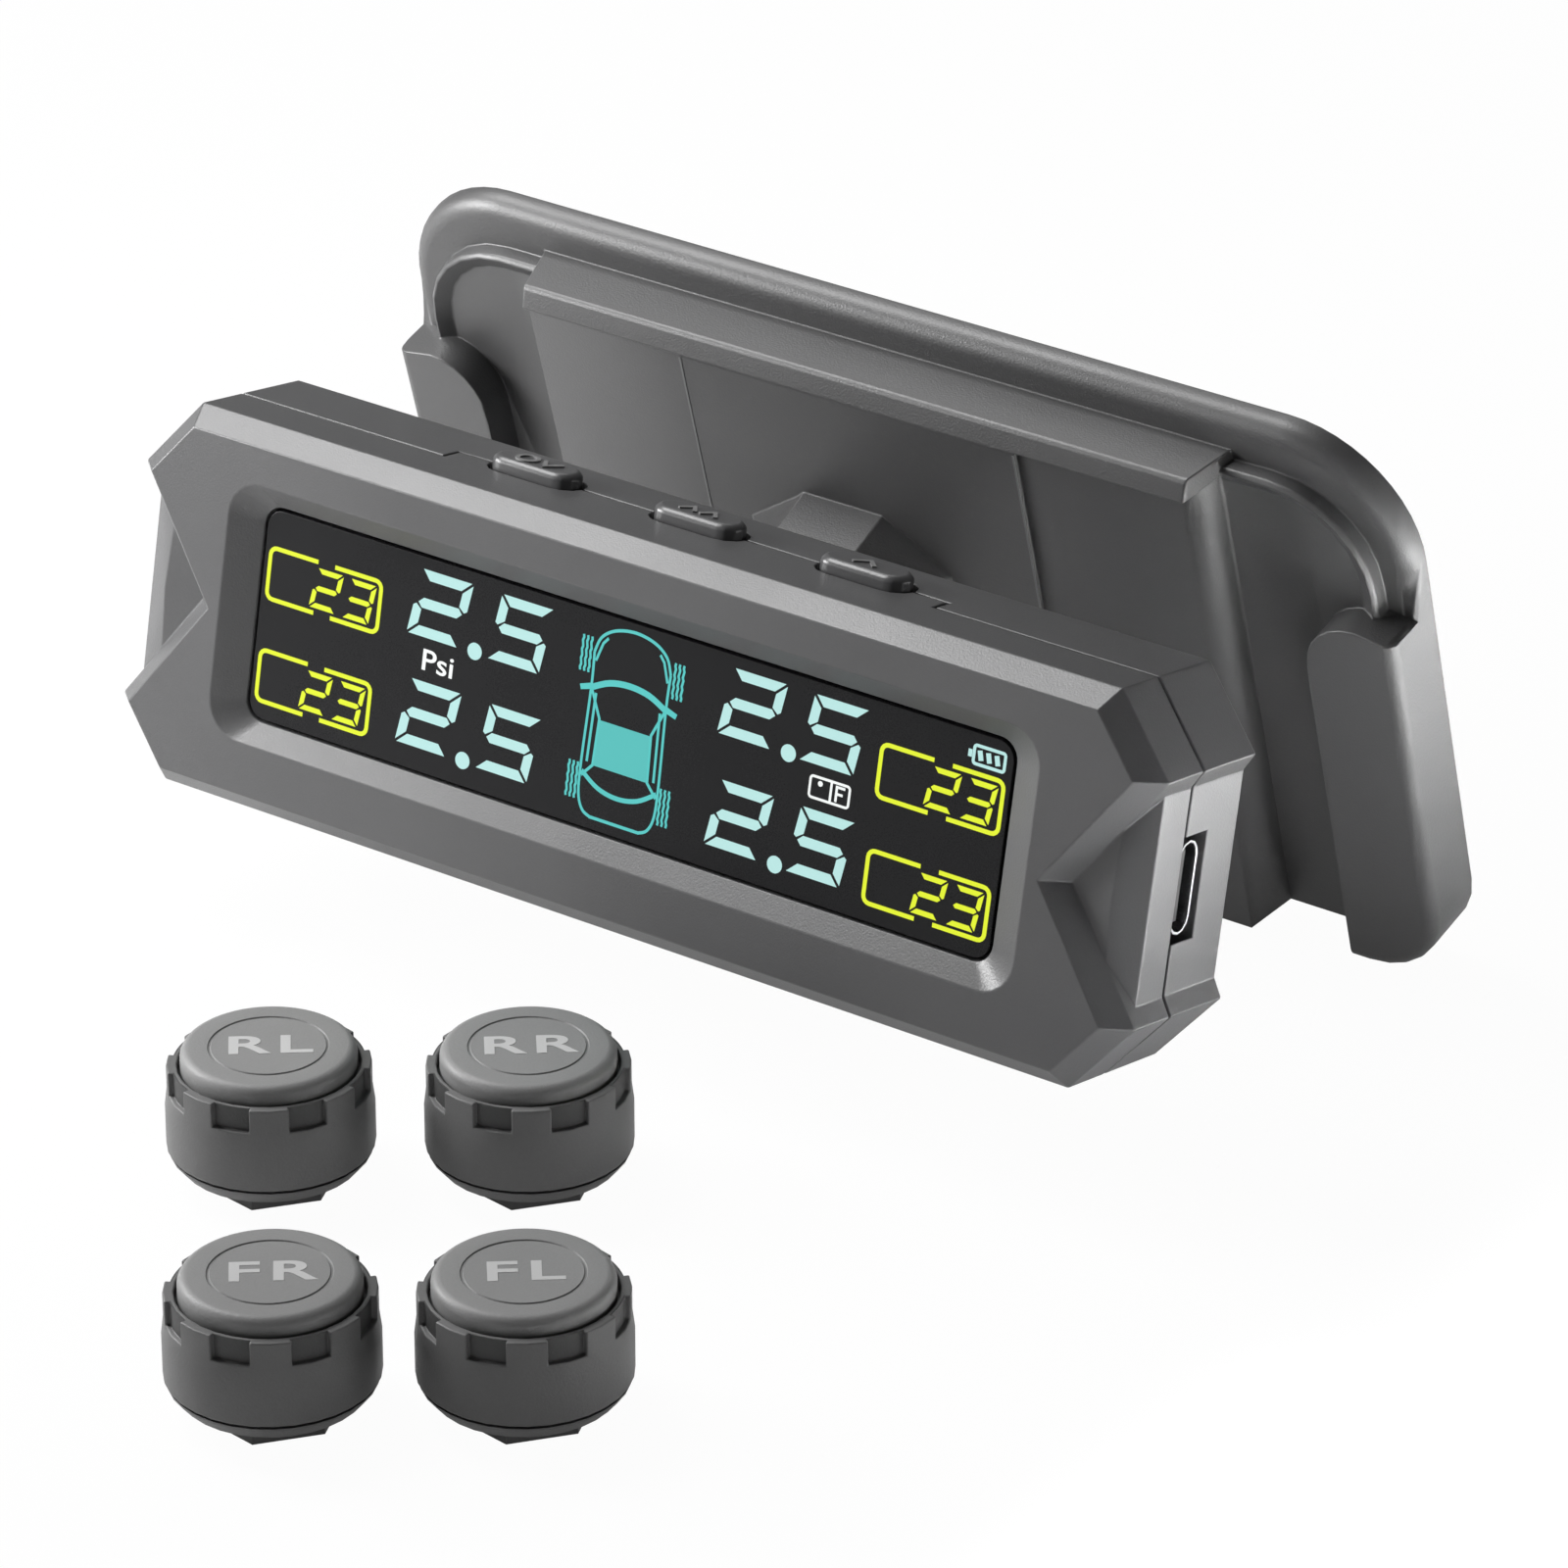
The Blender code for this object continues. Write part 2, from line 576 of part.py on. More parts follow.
def build_board_pieces(frame, origin, foil, black, brass):
    """Battery, buzzer and stamped antenna on the back of the board."""
    outline = rounded_box(BATTERY_LENGTH, BATTERY_HEIGHT, 2 * BATTERY_EDGE)
    shrunk = rounded_box(BATTERY_LENGTH - 2 * BATTERY_EDGE, BATTERY_HEIGHT - 2 * BATTERY_EDGE, BATTERY_EDGE)
    shift = BATTERY_POST_GAP + BATTERY_LENGTH / 2 - SCREW_X
    placed = [[(x + shift, z + BATTERY_DROP) for x, z in ring] for ring in (shrunk, outline)]
    back = ON_BOARD + BATTERY_THICKNESS
    rings = [at_depth(placed[0], ON_BOARD), at_depth(placed[1], ON_BOARD + BATTERY_EDGE),
             at_depth(placed[1], back - BATTERY_EDGE), at_depth(placed[0], back)]
    piece("battery_cell", mesh_from("battery_cell", skin(rings)), foil, frame, origin)
    buzzer = rod_along_depth(*BUZZER_PLACE, BUZZER_RADIUS, ON_BOARD, ON_BOARD + BUZZER_HEIGHT)
    piece("buzzer", mesh_from("buzzer", buzzer), black, frame, origin, smooth=True)
    right = SCREW_X - ANTENNA_POST_GAP
    foot = ANTENNA_FOOT
    top = ON_BOARD + ANTENNA_HEIGHT
    angle = [(ON_BOARD, foot), (top, foot), (top, foot + ANTENNA_STRIP),
             (top - ANTENNA_GAUGE, foot + ANTENNA_STRIP), (top - ANTENNA_GAUGE, foot + ANTENNA_GAUGE),
             (ON_BOARD, foot + ANTENNA_GAUGE)]
    antenna = skin([at_side(angle, right - ANTENNA_LENGTH), at_side(angle, right)])
    piece("antenna_strip", mesh_from("antenna_strip", antenna), brass, frame, origin)


def build_usb(frame, origin, steel, black):
    """Charging socket: a folded steel cup open at the end wall, with its contact tongue."""
    outer = [(USB_DEPTH + y, z) for z, y in pill(USB_WIDTH, USB_HEIGHT)]
    inner = [(USB_DEPTH + y, z) for z, y in pill(USB_WIDTH - 2 * USB_SHELL, USB_HEIGHT - 2 * USB_SHELL)]
    back_x = USB_MOUTH_X - USB_LENGTH
    floor_x = back_x + 2 * USB_SHELL
    cup = skin([at_side(inner, floor_x), at_side(inner, USB_MOUTH_X), at_side(outer, USB_MOUTH_X),
                at_side(outer, back_x)])
    piece("usb_socket", mesh_from("usb_socket", cup), steel, frame, origin, smooth=True)
    low = (floor_x + SEAT_GAP, USB_DEPTH - USB_TONGUE_HEIGHT / 2, -USB_TONGUE_WIDTH / 2)
    high = (USB_MOUTH_X - USB_TONGUE_SETBACK, USB_DEPTH + USB_TONGUE_HEIGHT / 2, USB_TONGUE_WIDTH / 2)
    piece("usb_tongue", mesh_from("usb_tongue", box(low, high)), black, frame, origin)


def build_buttons(frame, origin, plastic, black):
    """Three pill buttons, each with a retaining flange under the wall and a switch below it."""
    flange_top = WALL_INSIDE - SEAT_GAP
    flange_bottom = flange_top - BUTTON_FLANGE_HEIGHT
    crown = HALF_HEIGHT + BUTTON_RISE
    flange = pill(BUTTON_LENGTH + 2 * BUTTON_FLANGE, BUTTON_WIDTH + 2 * BUTTON_FLANGE)
    body = pill(BUTTON_LENGTH, BUTTON_WIDTH)
    top = pill(BUTTON_LENGTH - 2 * BUTTON_EDGE, BUTTON_WIDTH - 2 * BUTTON_EDGE)
    switch_top = flange_bottom - BUTTON_TRAVEL - SEAT_GAP / 2
    switch_shoulder = switch_top - SWITCH_PLUNGER
    half = SWITCH_LENGTH / 2
    tip = SWITCH_PLUNGER_SIDE / 2
    reach = BUTTON_DEPTH - ON_BOARD
    case = box_outline((-half, -reach), (half, reach))
    plunger = box_outline((-tip, -tip), (tip, tip))
    for index, name in ((-1, "left"), (0, "middle"), (1, "right")):
        shift = (index * BUTTON_PITCH, BUTTON_DEPTH)
        rings = [at_height(flange, flange_bottom, shift), at_height(flange, flange_top, shift),
                 at_height(body, flange_top, shift), at_height(body, crown - BUTTON_EDGE, shift),
                 at_height(top, crown, shift)]
        piece("button_" + name, mesh_from("button_" + name, skin(rings)), plastic, frame, origin, smooth=True)
        rings = [at_height(case, switch_shoulder - SWITCH_HEIGHT, shift), at_height(case, switch_shoulder, shift),
                 at_height(plunger, switch_shoulder, shift), at_height(plunger, switch_top, shift)]
        piece("switch_" + name, mesh_from("switch_" + name, skin(rings)), black, frame, origin)


def build_fasteners(frame, origin, steel):
    """Four case screws and the hinge pin."""
    head_back = CASE_DEPTH - SEAT_GAP
    head_front = head_back - SCREW_HEAD_HEIGHT
    tip = SEAM_DEPTH - SCREW_BITE
    for count, (x, z) in enumerate(screw_spots(), start=1):
        head = arc((x, z), SCREW_HEAD_RADIUS, 0.0, 2 * math.pi, SMALL_TURN_STEPS)[:-1]
        shank = arc((x, z), SCREW_RADIUS, 0.0, 2 * math.pi, SMALL_TURN_STEPS)[:-1]
        rings = [at_depth(shank, tip), at_depth(shank, head_front), at_depth(head, head_front),
                 at_depth(head, head_back)]
        name = "case_screw_" + str(count)
        piece(name, mesh_from(name, skin(rings)), steel, frame, origin, smooth=True)
    reach = BARREL_LENGTH / 2 + SLIDE_GAP + LUG_WIDTH
    pin = rod_along_x(HINGE_DEPTH, HINGE_RISE, PIN_RADIUS, ARM_SHIFT - reach, ARM_SHIFT + reach)
    piece("hinge_pin", mesh_from("hinge_pin", pin), steel, frame, origin, smooth=True)


def holder_outline():
    """Outer contour of the holder: wide top corners, smaller feet; heights from the feet."""
    half = HOLDER_WIDTH / 2
    top = HOLDER_HEIGHT
    quarter = math.pi / 2
    big = FLANGE_TOP_RADIUS
    small = FLANGE_FOOT_RADIUS
    return (arc((half - big, top - big), big, 0.0, quarter, 2 * ARC_STEPS)
            + arc((big - half, top - big), big, quarter, 2 * quarter, 2 * ARC_STEPS)
            + arc((small - half, small), small, 2 * quarter, 3 * quarter)
            + arc((half - small, small), small, 3 * quarter, 4 * quarter))


def seat_outline(shrink):
    """Right foot, over two rounded top corners, to the left foot, this far inside the seat's contour."""
    half = HOLDER_WIDTH / 2 - SEAT_MARGIN - shrink
    top = HOLDER_HEIGHT - SEAT_TOP_MARGIN - shrink
    radius = SEAT_RADIUS - shrink
    quarter = math.pi / 2
    return ([(half, PLATE_FOOT)] + arc((half - radius, top - radius), radius, 0.0, quarter)
            + arc((radius - half, top - radius), radius, quarter, 2 * quarter) + [(-half, PLATE_FOOT)])


def on_holder(outline, forward):
    """Points of an outline given from the feet, this far in front of the pad's back."""
    return [(x, -forward, height - PAD_CENTRE) for x, height in outline]


def holder_slab(outline, back, front):
    return skin([on_holder(outline, back), on_holder(outline, front)])


def build_holder(frame, plastic, foam):
    """Flange with side rails, raised seats and centre block, and the arm that carries the display."""
    half = HOLDER_WIDTH / 2
    above = HOLDER_HEIGHT + CUT_OVER
    below = -CUT_OVER
    flange_back = FLANGE_FRONT - FLANGE_THICKNESS
    slab = holder_slab(holder_outline(), flange_back, RAIL_FRONT)
    holder = piece("holder", mesh_from("holder", slab), plastic, frame)
    quarter = math.pi / 2
    shoulder_x = RAIL_INNER_X + RAIL_RADIUS
    shoulder_z = RAIL_HEIGHT - RAIL_RADIUS
    wide = half + CUT_OVER
    right = [(wide, above), (wide, RAIL_HEIGHT - RAIL_TOP_DROP)]
    right += arc((shoulder_x, shoulder_z), RAIL_RADIUS, quarter, 2 * quarter)
    right += [(RAIL_INNER_X, below)]
    between_rails = right + [(-x, z) for x, z in reversed(right)]
    cut(holder, mesh_from("rail_gap", holder_slab(between_rails, FLANGE_FRONT, RAIL_FRONT + CUT_OVER)))

    seat_front = FLANGE_FRONT + SEAT_RISE
    crest = seat_front + SEAT_RIDGE_RISE
    embedded = FLANGE_FRONT - FLANGE_THICKNESS / 2
    seat_floor = seat_outline(SEAT_RIDGE_WIDTH / 2)
    join(holder, mesh_from("seat_floor", holder_slab(seat_floor, embedded, seat_front)))
    profile = ((0.0, embedded), (0.0, crest - SEAT_EDGE), (SEAT_EDGE, crest), (SEAT_RIDGE_WIDTH, seat_front),
               (SEAT_RIDGE_WIDTH, embedded))
    runs = [on_holder(seat_outline(shrink), forward) for shrink, forward in profile]
    join(holder, mesh_from("seat_ridge", skin(list(zip(*runs)))))

    block_top = HOLDER_HEIGHT - BLOCK_TOP_MARGIN
    core_front = BLOCK_FRONT - VISOR_STEP
    core_top = block_top - VISOR_HEIGHT / 2
    core_half = BLOCK_WIDTH / 2 - VISOR_STEP
    rings = []
    for spread, forward in ((BLOCK_DRAFT, embedded), (0.0, core_front)):
        reach = core_half + spread
        rings.append(on_holder(box_outline((-reach, PLATE_FOOT), (reach, core_top)), forward))
    join(holder, mesh_from("centre_block", skin(rings)))
    rings = []
    for spread, drop, forward in ((BLOCK_DRAFT, 0.0, embedded),
                                  (BLOCK_DRAFT * BLOCK_LIP / BLOCK_RISE, 0.0, BLOCK_FRONT - BLOCK_LIP),
                                  (0.0, BLOCK_LIP, BLOCK_FRONT)):
        reach = BLOCK_WIDTH / 2 + spread
        rings.append(on_holder(box_outline((-reach, block_top - VISOR_HEIGHT), (reach, block_top - drop)), forward))
    join(holder, mesh_from("block_visor", skin(rings)))
    panel = box_outline((-PANEL_WIDTH / 2, PLATE_FOOT), (PANEL_WIDTH / 2, core_top))
    join(holder, mesh_from("centre_panel", holder_slab(panel, embedded, BLOCK_FRONT)))
    foot_gap = box_outline((-RAIL_INNER_X, below), (RAIL_INNER_X, PLATE_FOOT))
    cut(holder, mesh_from("foot_gap", holder_slab(foot_gap, flange_back - CUT_OVER, BLOCK_FRONT + CUT_OVER)))

    join(holder, arm_mesh())
    hinge_y = -(BLOCK_FRONT + ARM_REACH)
    hinge_z = ARM_HEIGHT - PAD_CENTRE
    barrel_half = BARREL_LENGTH / 2
    barrel = rod_along_x(hinge_y, hinge_z, BARREL_RADIUS, ARM_SHIFT - barrel_half, ARM_SHIFT + barrel_half)
    join(holder, mesh_from("arm_barrel", barrel))
    bore_half = barrel_half + CUT_OVER
    bore = rod_along_x(hinge_y, hinge_z, PIN_RADIUS + SLIDE_GAP, ARM_SHIFT - bore_half, ARM_SHIFT + bore_half)
    cut(holder, mesh_from("barrel_bore", bore))

    pad_outline = rounded_box(PAD_LENGTH, PAD_HEIGHT, PAD_RADIUS, PAD_CENTRE)
    pad = holder_slab(pad_outline, 0.0, PAD_THICKNESS)
    piece("adhesive_pad", mesh_from("adhesive_pad", pad), foam, frame)


def arm_mesh():
    """Arm from the centre block to the hinge, flaring into the block at its root."""
    rings = []
    root = BLOCK_FRONT - BLOCK_LIP
    tip = BLOCK_FRONT + ARM_REACH
    for step in range(ARM_STEPS + 1):
        share = step / ARM_STEPS
        flare = (1.0 - share) ** 3
        slim = BARREL_LENGTH / 2 - ARM_SIDE_RELIEF
        half = slim + ARM_FLARE_SIDE * flare
        up = ARM_HEIGHT + ARM_END_HALF + ARM_FLARE_UP * flare
        down = ARM_HEIGHT - ARM_END_HALF - ARM_FLARE_DOWN * flare
        middle = up - ARM_END_HALF - ARM_FLARE_SHOULDER * flare
        outline = [(-half, down), (half, down), (half, middle), (slim, up), (-slim, up), (-half, middle)]
        shifted = [(x + ARM_SHIFT, height) for x, height in outline]
        rings.append(on_holder(shifted, root + (tip - root) * share))
    return mesh_from("tilt_arm", skin(rings))


def crown_body_mesh():
    """Sensor body: a tapered sleeve whose rim is a crown of teeth for the opening tool."""
    straight = BODY_BOTTOM + BODY_HEIGHT / 2
    floor = BODY_TOP - CROWN_DEPTH
    lid_bore = LID_RADIUS + SLIDE_GAP
    rings = {
        "foot": (SENSOR_RADIUS, BODY_BOTTOM), "waist": (SENSOR_RADIUS, straight),
        "floor_out": (SENSOR_TOP_RADIUS, floor), "floor_in": (CROWN_WALL_RADIUS, floor),
        "rim_out": (SENSOR_TOP_RADIUS, BODY_TOP), "rim_in": (CROWN_WALL_RADIUS, BODY_TOP),
        "bore_top": (lid_bore, BODY_TOP), "bore_ledge": (lid_bore, LID_LEDGE),
        "ledge": (BODY_BORE_RADIUS, LID_LEDGE), "bore_foot": (BODY_BORE_RADIUS, BODY_BOTTOM),
    }
    columns = 4 * CROWN_TEETH
    solid = bmesh.new()
    made = {}

    def corner(name, column):
        key = (name, column % columns)
        if key not in made:
            radius, height = rings[name]
            angle = 2 * math.pi * (column - 1) / columns
            made[key] = solid.verts.new((radius * math.sin(angle), -radius * math.cos(angle), height))
        return made[key]

    shared = (("foot", "waist"), ("waist", "floor_out"), ("rim_in", "bore_top"), ("bore_top", "bore_ledge"),
              ("bore_ledge", "ledge"), ("ledge", "bore_foot"), ("bore_foot", "foot"))
    tooth = (("floor_out", "rim_out"), ("rim_out", "rim_in"))
    gap = (("floor_out", "floor_in"), ("floor_in", "rim_in"))
    for column in range(columns):
        in_tooth = column // 2 % 2 == 0
        for low, high in shared + (tooth if in_tooth else gap):
            solid.faces.new((corner(low, column), corner(low, column + 1), corner(high, column + 1),
                             corner(high, column)))
        if column % 2 == 0:
            solid.faces.new([corner(name, column) for name in ("floor_out", "rim_out", "rim_in", "floor_in")])
    return mesh_from("sensor_body", solid)


def sensor_meshes():
    """Meshes of one sensor, standing on its hexagon; the four sensors share them."""
    lid_bottom = LID_LEDGE + SEAT_GAP
    lid_top = BODY_TOP + LID_PROUD
    lid_curve = [(LID_RADIUS - LID_EDGE + LID_EDGE * math.cos(turn), lid_top - LID_EDGE + LID_EDGE * math.sin(turn))
                 for turn in (0.0, math.pi / 6, math.pi / 3, math.pi / 2)]
    lid = turned([(LID_RADIUS, lid_bottom)] + lid_curve)
    insert_room = INSERT_RADIUS + SLIDE_GAP
    spigot_radius = BODY_BORE_RADIUS - SLIDE_GAP
    spigot_top = BASE_TOP + SPIGOT_HEIGHT
    base = turned([(insert_room, HEX_HEIGHT), (SENSOR_RADIUS - SENSOR_BASE_EDGE, HEX_HEIGHT),
                   (SENSOR_RADIUS - SENSOR_BASE_EDGE / 4, BASE_TOP - SENSOR_BASE_EDGE / 4),
                   (SENSOR_RADIUS - SENSOR_BASE_EDGE / 6, BASE_TOP), (spigot_radius, BASE_TOP),
                   (spigot_radius, spigot_top), (insert_room, spigot_top)], closed=True)
    hexagon = turned([(HEX_CORNER_RADIUS, 0.0), (HEX_CORNER_RADIUS, HEX_HEIGHT + BASE_HEIGHT / 2)], 6,
                     start=HEX_TURN)
    bore = turned([(insert_room, -CUT_OVER), (insert_room, spigot_top + CUT_OVER)], start=math.pi / TURN_STEPS)
    insert_bottom = 2 * SEAT_GAP
    insert_top = insert_bottom + INSERT_HEIGHT
    insert = turned([(VALVE_RADIUS, insert_bottom), (INSERT_RADIUS, insert_bottom), (INSERT_RADIUS, insert_top),
                     (VALVE_RADIUS, insert_top)], SMALL_TURN_STEPS, closed=True)
    gasket_bottom = insert_top + SEAT_GAP
    gasket_top = gasket_bottom + GASKET_HEIGHT
    gasket = turned([(GASKET_HOLE_RADIUS, gasket_bottom), (INSERT_RADIUS, gasket_bottom),
                     (INSERT_RADIUS, gasket_top), (GASKET_HOLE_RADIUS, gasket_top)], SMALL_TURN_STEPS, closed=True)
    board_bottom = max(spigot_top, gasket_top) + SEAT_GAP
    board_top = board_bottom + SENSOR_BOARD_THICKNESS
    board = turned([(SENSOR_BOARD_RADIUS, board_bottom), (SENSOR_BOARD_RADIUS, board_top)], SMALL_TURN_STEPS)
    coin_bottom = board_top + SEAT_GAP
    coin = turned([(COIN_RADIUS, coin_bottom), (COIN_RADIUS, coin_bottom + COIN_THICKNESS)], SMALL_TURN_STEPS)
    solids = {"lid": lid, "base": base, "hexagon": hexagon, "bore": bore, "thread_insert": insert,
              "gasket": gasket, "circuit": board, "coin_cell": coin}
    meshes = {name: mesh_from("sensor_" + name, solid) for name, solid in solids.items()}
    meshes["body"] = crown_body_mesh()
    return meshes


def build_sensors(floor, materials):
    """Four identical sensors standing on the surface that the holder's feet reach."""
    meshes = sensor_meshes()
    for place, (x, y) in SENSOR_PLACES.items():
        frame = empty("sensor_" + place + "_axis", (x, y, floor), (0.0, 0.0, SENSOR_TURN))
        for part in ("body", "lid", "base", "thread_insert", "gasket", "circuit", "coin_cell"):
            name = "sensor_" + place + "_" + part
            made = piece(name, meshes[part], materials[part], frame, smooth=part != "circuit")
            if part == "base":
                join(made, meshes["hexagon"])
                cut(made, meshes["bore"])


def main():
    clear_scene()
    case_plastic = plain_material("case_plastic", (0.16, 0.16, 0.165), 0.5)
    holder_plastic = plain_material("holder_plastic", (0.15, 0.15, 0.155), 0.5)
    button_plastic = plain_material("button_plastic", (0.14, 0.14, 0.145), 0.4)
    glass = plain_material("screen_glass", (0.01, 0.01, 0.012), 0.15)
    dark = plain_material("lcd_dark", (0.03, 0.03, 0.035), 0.3)
    light = plain_material("backlight_white", (0.8, 0.8, 0.78), 0.5)
    board = plain_material("circuit_green", (0.05, 0.2, 0.09), 0.5)
    foil = plain_material("battery_foil", (0.6, 0.6, 0.62), 0.35, 1.0)
    black = plain_material("black_plastic", (0.02, 0.02, 0.02), 0.5)
    brass = plain_material("brass", (0.78, 0.57, 0.24), 0.35, 1.0)
    steel = plain_material("steel", (0.62, 0.62, 0.64), 0.3, 1.0)
    foam = plain_material("adhesive_foam", (0.05, 0.05, 0.05), 0.9)
    rubber = plain_material("gasket_rubber", (0.03, 0.03, 0.03), 0.8)
    sensor_plastic = plain_material("sensor_plastic", (0.18, 0.18, 0.18), 0.55)

    holder_frame = empty("holder_frame", (0.0, 0.0, 0.0), (HOLDER_LEAN, 0.0, 0.0))
    build_holder(holder_frame, holder_plastic, foam)

    arm_forward = BLOCK_FRONT + ARM_REACH
    arm_up = ARM_HEIGHT - PAD_CENTRE
    hinge_y = -arm_forward * math.cos(HOLDER_LEAN) - arm_up * math.sin(HOLDER_LEAN)
    hinge_z = -arm_forward * math.sin(HOLDER_LEAN) + arm_up * math.cos(HOLDER_LEAN)
    tilt = empty("display_tilt", (0.0, hinge_y, hinge_z), (-DISPLAY_LEAN_BACK, 0.0, 0.0))
    origin = (0.0, -HINGE_DEPTH, -HINGE_RISE)
    build_case(tilt, origin, case_plastic)
    build_panels(tilt, origin, glass, dark, light, board)
    build_board_pieces(tilt, origin, foil, black, brass)
    build_usb(tilt, origin, steel, black)
    build_buttons(tilt, origin, button_plastic, black)
    build_fasteners(tilt, origin, steel)

    floor = -RAIL_FRONT * math.sin(HOLDER_LEAN) - PAD_CENTRE * math.cos(HOLDER_LEAN)
    sensor_materials = {"body": sensor_plastic, "lid": sensor_plastic, "base": sensor_plastic,
                        "thread_insert": brass, "gasket": rubber, "circuit": board, "coin_cell": steel}
    build_sensors(floor, sensor_materials)


main()
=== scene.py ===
import json
import math

import bpy
from mathutils import Matrix, Vector


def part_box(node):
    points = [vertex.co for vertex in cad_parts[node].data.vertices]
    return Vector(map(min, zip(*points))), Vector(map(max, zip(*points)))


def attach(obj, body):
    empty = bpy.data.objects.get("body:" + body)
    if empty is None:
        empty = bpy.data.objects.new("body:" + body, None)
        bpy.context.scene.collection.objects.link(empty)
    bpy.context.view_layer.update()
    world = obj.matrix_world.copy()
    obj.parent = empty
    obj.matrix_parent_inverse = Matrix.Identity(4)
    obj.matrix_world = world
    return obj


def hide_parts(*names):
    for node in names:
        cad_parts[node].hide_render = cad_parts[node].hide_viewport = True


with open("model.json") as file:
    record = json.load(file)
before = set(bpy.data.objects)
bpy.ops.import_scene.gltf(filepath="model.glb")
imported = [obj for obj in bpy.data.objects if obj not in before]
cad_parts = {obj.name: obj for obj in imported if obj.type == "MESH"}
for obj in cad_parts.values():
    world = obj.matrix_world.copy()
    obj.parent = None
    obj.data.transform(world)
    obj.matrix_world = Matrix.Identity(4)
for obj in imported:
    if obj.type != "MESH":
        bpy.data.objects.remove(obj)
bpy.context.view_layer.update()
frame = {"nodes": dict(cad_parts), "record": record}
nodes = frame["nodes"]
mm = 0.001

# Where the display's own frame sits: x along it, y into it from the front face, z up the face
display = {"leanBack": 11.7, "hingeDepth": 22.5 * mm, "hingeRise": 3.0 * mm, "lensDepth": 1.5 * mm}
hinge = next(joint for joint in frame["record"]["behaviour"]["joints"] if joint["name"] == "display_tilt")
displayFrame = (Matrix.Translation(hinge["pos_m"])
                @ Matrix.Rotation(math.radians(-display["leanBack"]), 4, "X")
                @ Matrix.Translation((0.0, -display["hingeDepth"], -display["hingeRise"])))
floorHeight = min(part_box(name)[0][2] for name in nodes)


def deselectAll():
    if bpy.context.object and bpy.context.object.mode != "OBJECT":
        bpy.ops.object.mode_set(mode="OBJECT")
    bpy.ops.object.select_all(action="DESELECT")


def pick(piece):
    deselectAll()
    piece.select_set(True)
    bpy.context.view_layer.objects.active = piece


def applyModifiers(piece):
    pick(piece)
    for step in list(piece.modifiers):
        bpy.ops.object.modifier_apply(modifier=step.name)


def settle(piece, matrix, body, material, replaced=()):
    piece.data.transform(matrix)
    piece.data.materials.clear()
    piece.data.materials.append(material)
    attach(piece, body)
    if replaced:
        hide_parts(*replaced)


# Shader group and materials: fine grain in the surface, and a slow drift of shade over it
groupSockets = {
    "INPUT": {"Vector": "Vector", "Colour": "Color", "Roughness": "Float", "Grain Size": "Float",
              "Grain Depth": "Float", "Mottle": "Float"},
    "OUTPUT": {"Colour": "Color", "Roughness": "Float", "Normal": "Vector"},
}
grainLook = {"detail": 3.0, "driftScale": 60.0, "driftDetail": 2.0, "bumpDistance": 0.00006, "grainShare": 0.6,
             "middle": 0.8, "glossShare": 0.12}


def buildGrainGroup():
    group = bpy.data.node_groups.new("mouldGrain", "ShaderNodeTree")
    for way, sockets in groupSockets.items():
        for name, kind in sockets.items():
            group.interface.new_socket(name=name, in_out=way, socket_type="NodeSocket" + kind)
    make, link = group.nodes.new, group.links.new
    given = make("NodeGroupInput")
    result = make("NodeGroupOutput")
    grain = make("ShaderNodeTexNoise")
    grain.inputs["Detail"].default_value = grainLook["detail"]
    link(given.outputs["Vector"], grain.inputs["Vector"])
    link(given.outputs["Grain Size"], grain.inputs["Scale"])
    drift = make("ShaderNodeTexNoise")
    drift.inputs["Scale"].default_value = grainLook["driftScale"]
    drift.inputs["Detail"].default_value = grainLook["driftDetail"]
    link(given.outputs["Vector"], drift.inputs["Vector"])
    bump = make("ShaderNodeBump")
    bump.inputs["Distance"].default_value = grainLook["bumpDistance"]
    link(given.outputs["Grain Depth"], bump.inputs["Strength"])
    link(grain.outputs["Fac"], bump.inputs["Height"])
    shades = make("ShaderNodeMath")
    shades.operation = "MULTIPLY_ADD"
    shades.inputs[1].default_value = grainLook["grainShare"]
    link(grain.outputs["Fac"], shades.inputs[0])
    link(drift.outputs["Fac"], shades.inputs[2])
    centred = make("ShaderNodeMath")
    centred.operation = "SUBTRACT"
    centred.inputs[1].default_value = grainLook["middle"]
    link(shades.outputs[0], centred.inputs[0])
    strength = make("ShaderNodeMath")
    strength.operation = "MULTIPLY_ADD"
    strength.inputs[2].default_value = 1.0
    link(centred.outputs[0], strength.inputs[0])
    link(given.outputs["Mottle"], strength.inputs[1])
    tint = make("ShaderNodeVectorMath")
    tint.operation = "SCALE"
    link(given.outputs["Colour"], tint.inputs[0])
    link(strength.outputs[0], tint.inputs["Scale"])
    gloss = make("ShaderNodeMath")
    gloss.operation = "MULTIPLY_ADD"
    gloss.inputs[1].default_value = grainLook["glossShare"]
    link(centred.outputs[0], gloss.inputs[0])
    link(given.outputs["Roughness"], gloss.inputs[2])
    link(tint.outputs[0], result.inputs["Colour"])
    link(gloss.outputs[0], result.inputs["Roughness"])
    link(bump.outputs["Normal"], result.inputs["Normal"])
    return group


grainGroup = buildGrainGroup()
litLook = {"dimmed": 0.2, "roughness": 0.6, "grainSize": 9000.0, "grainDepth": 0.1, "mottle": 0.1, "specular": 0.2,
           "strength": 1.0}


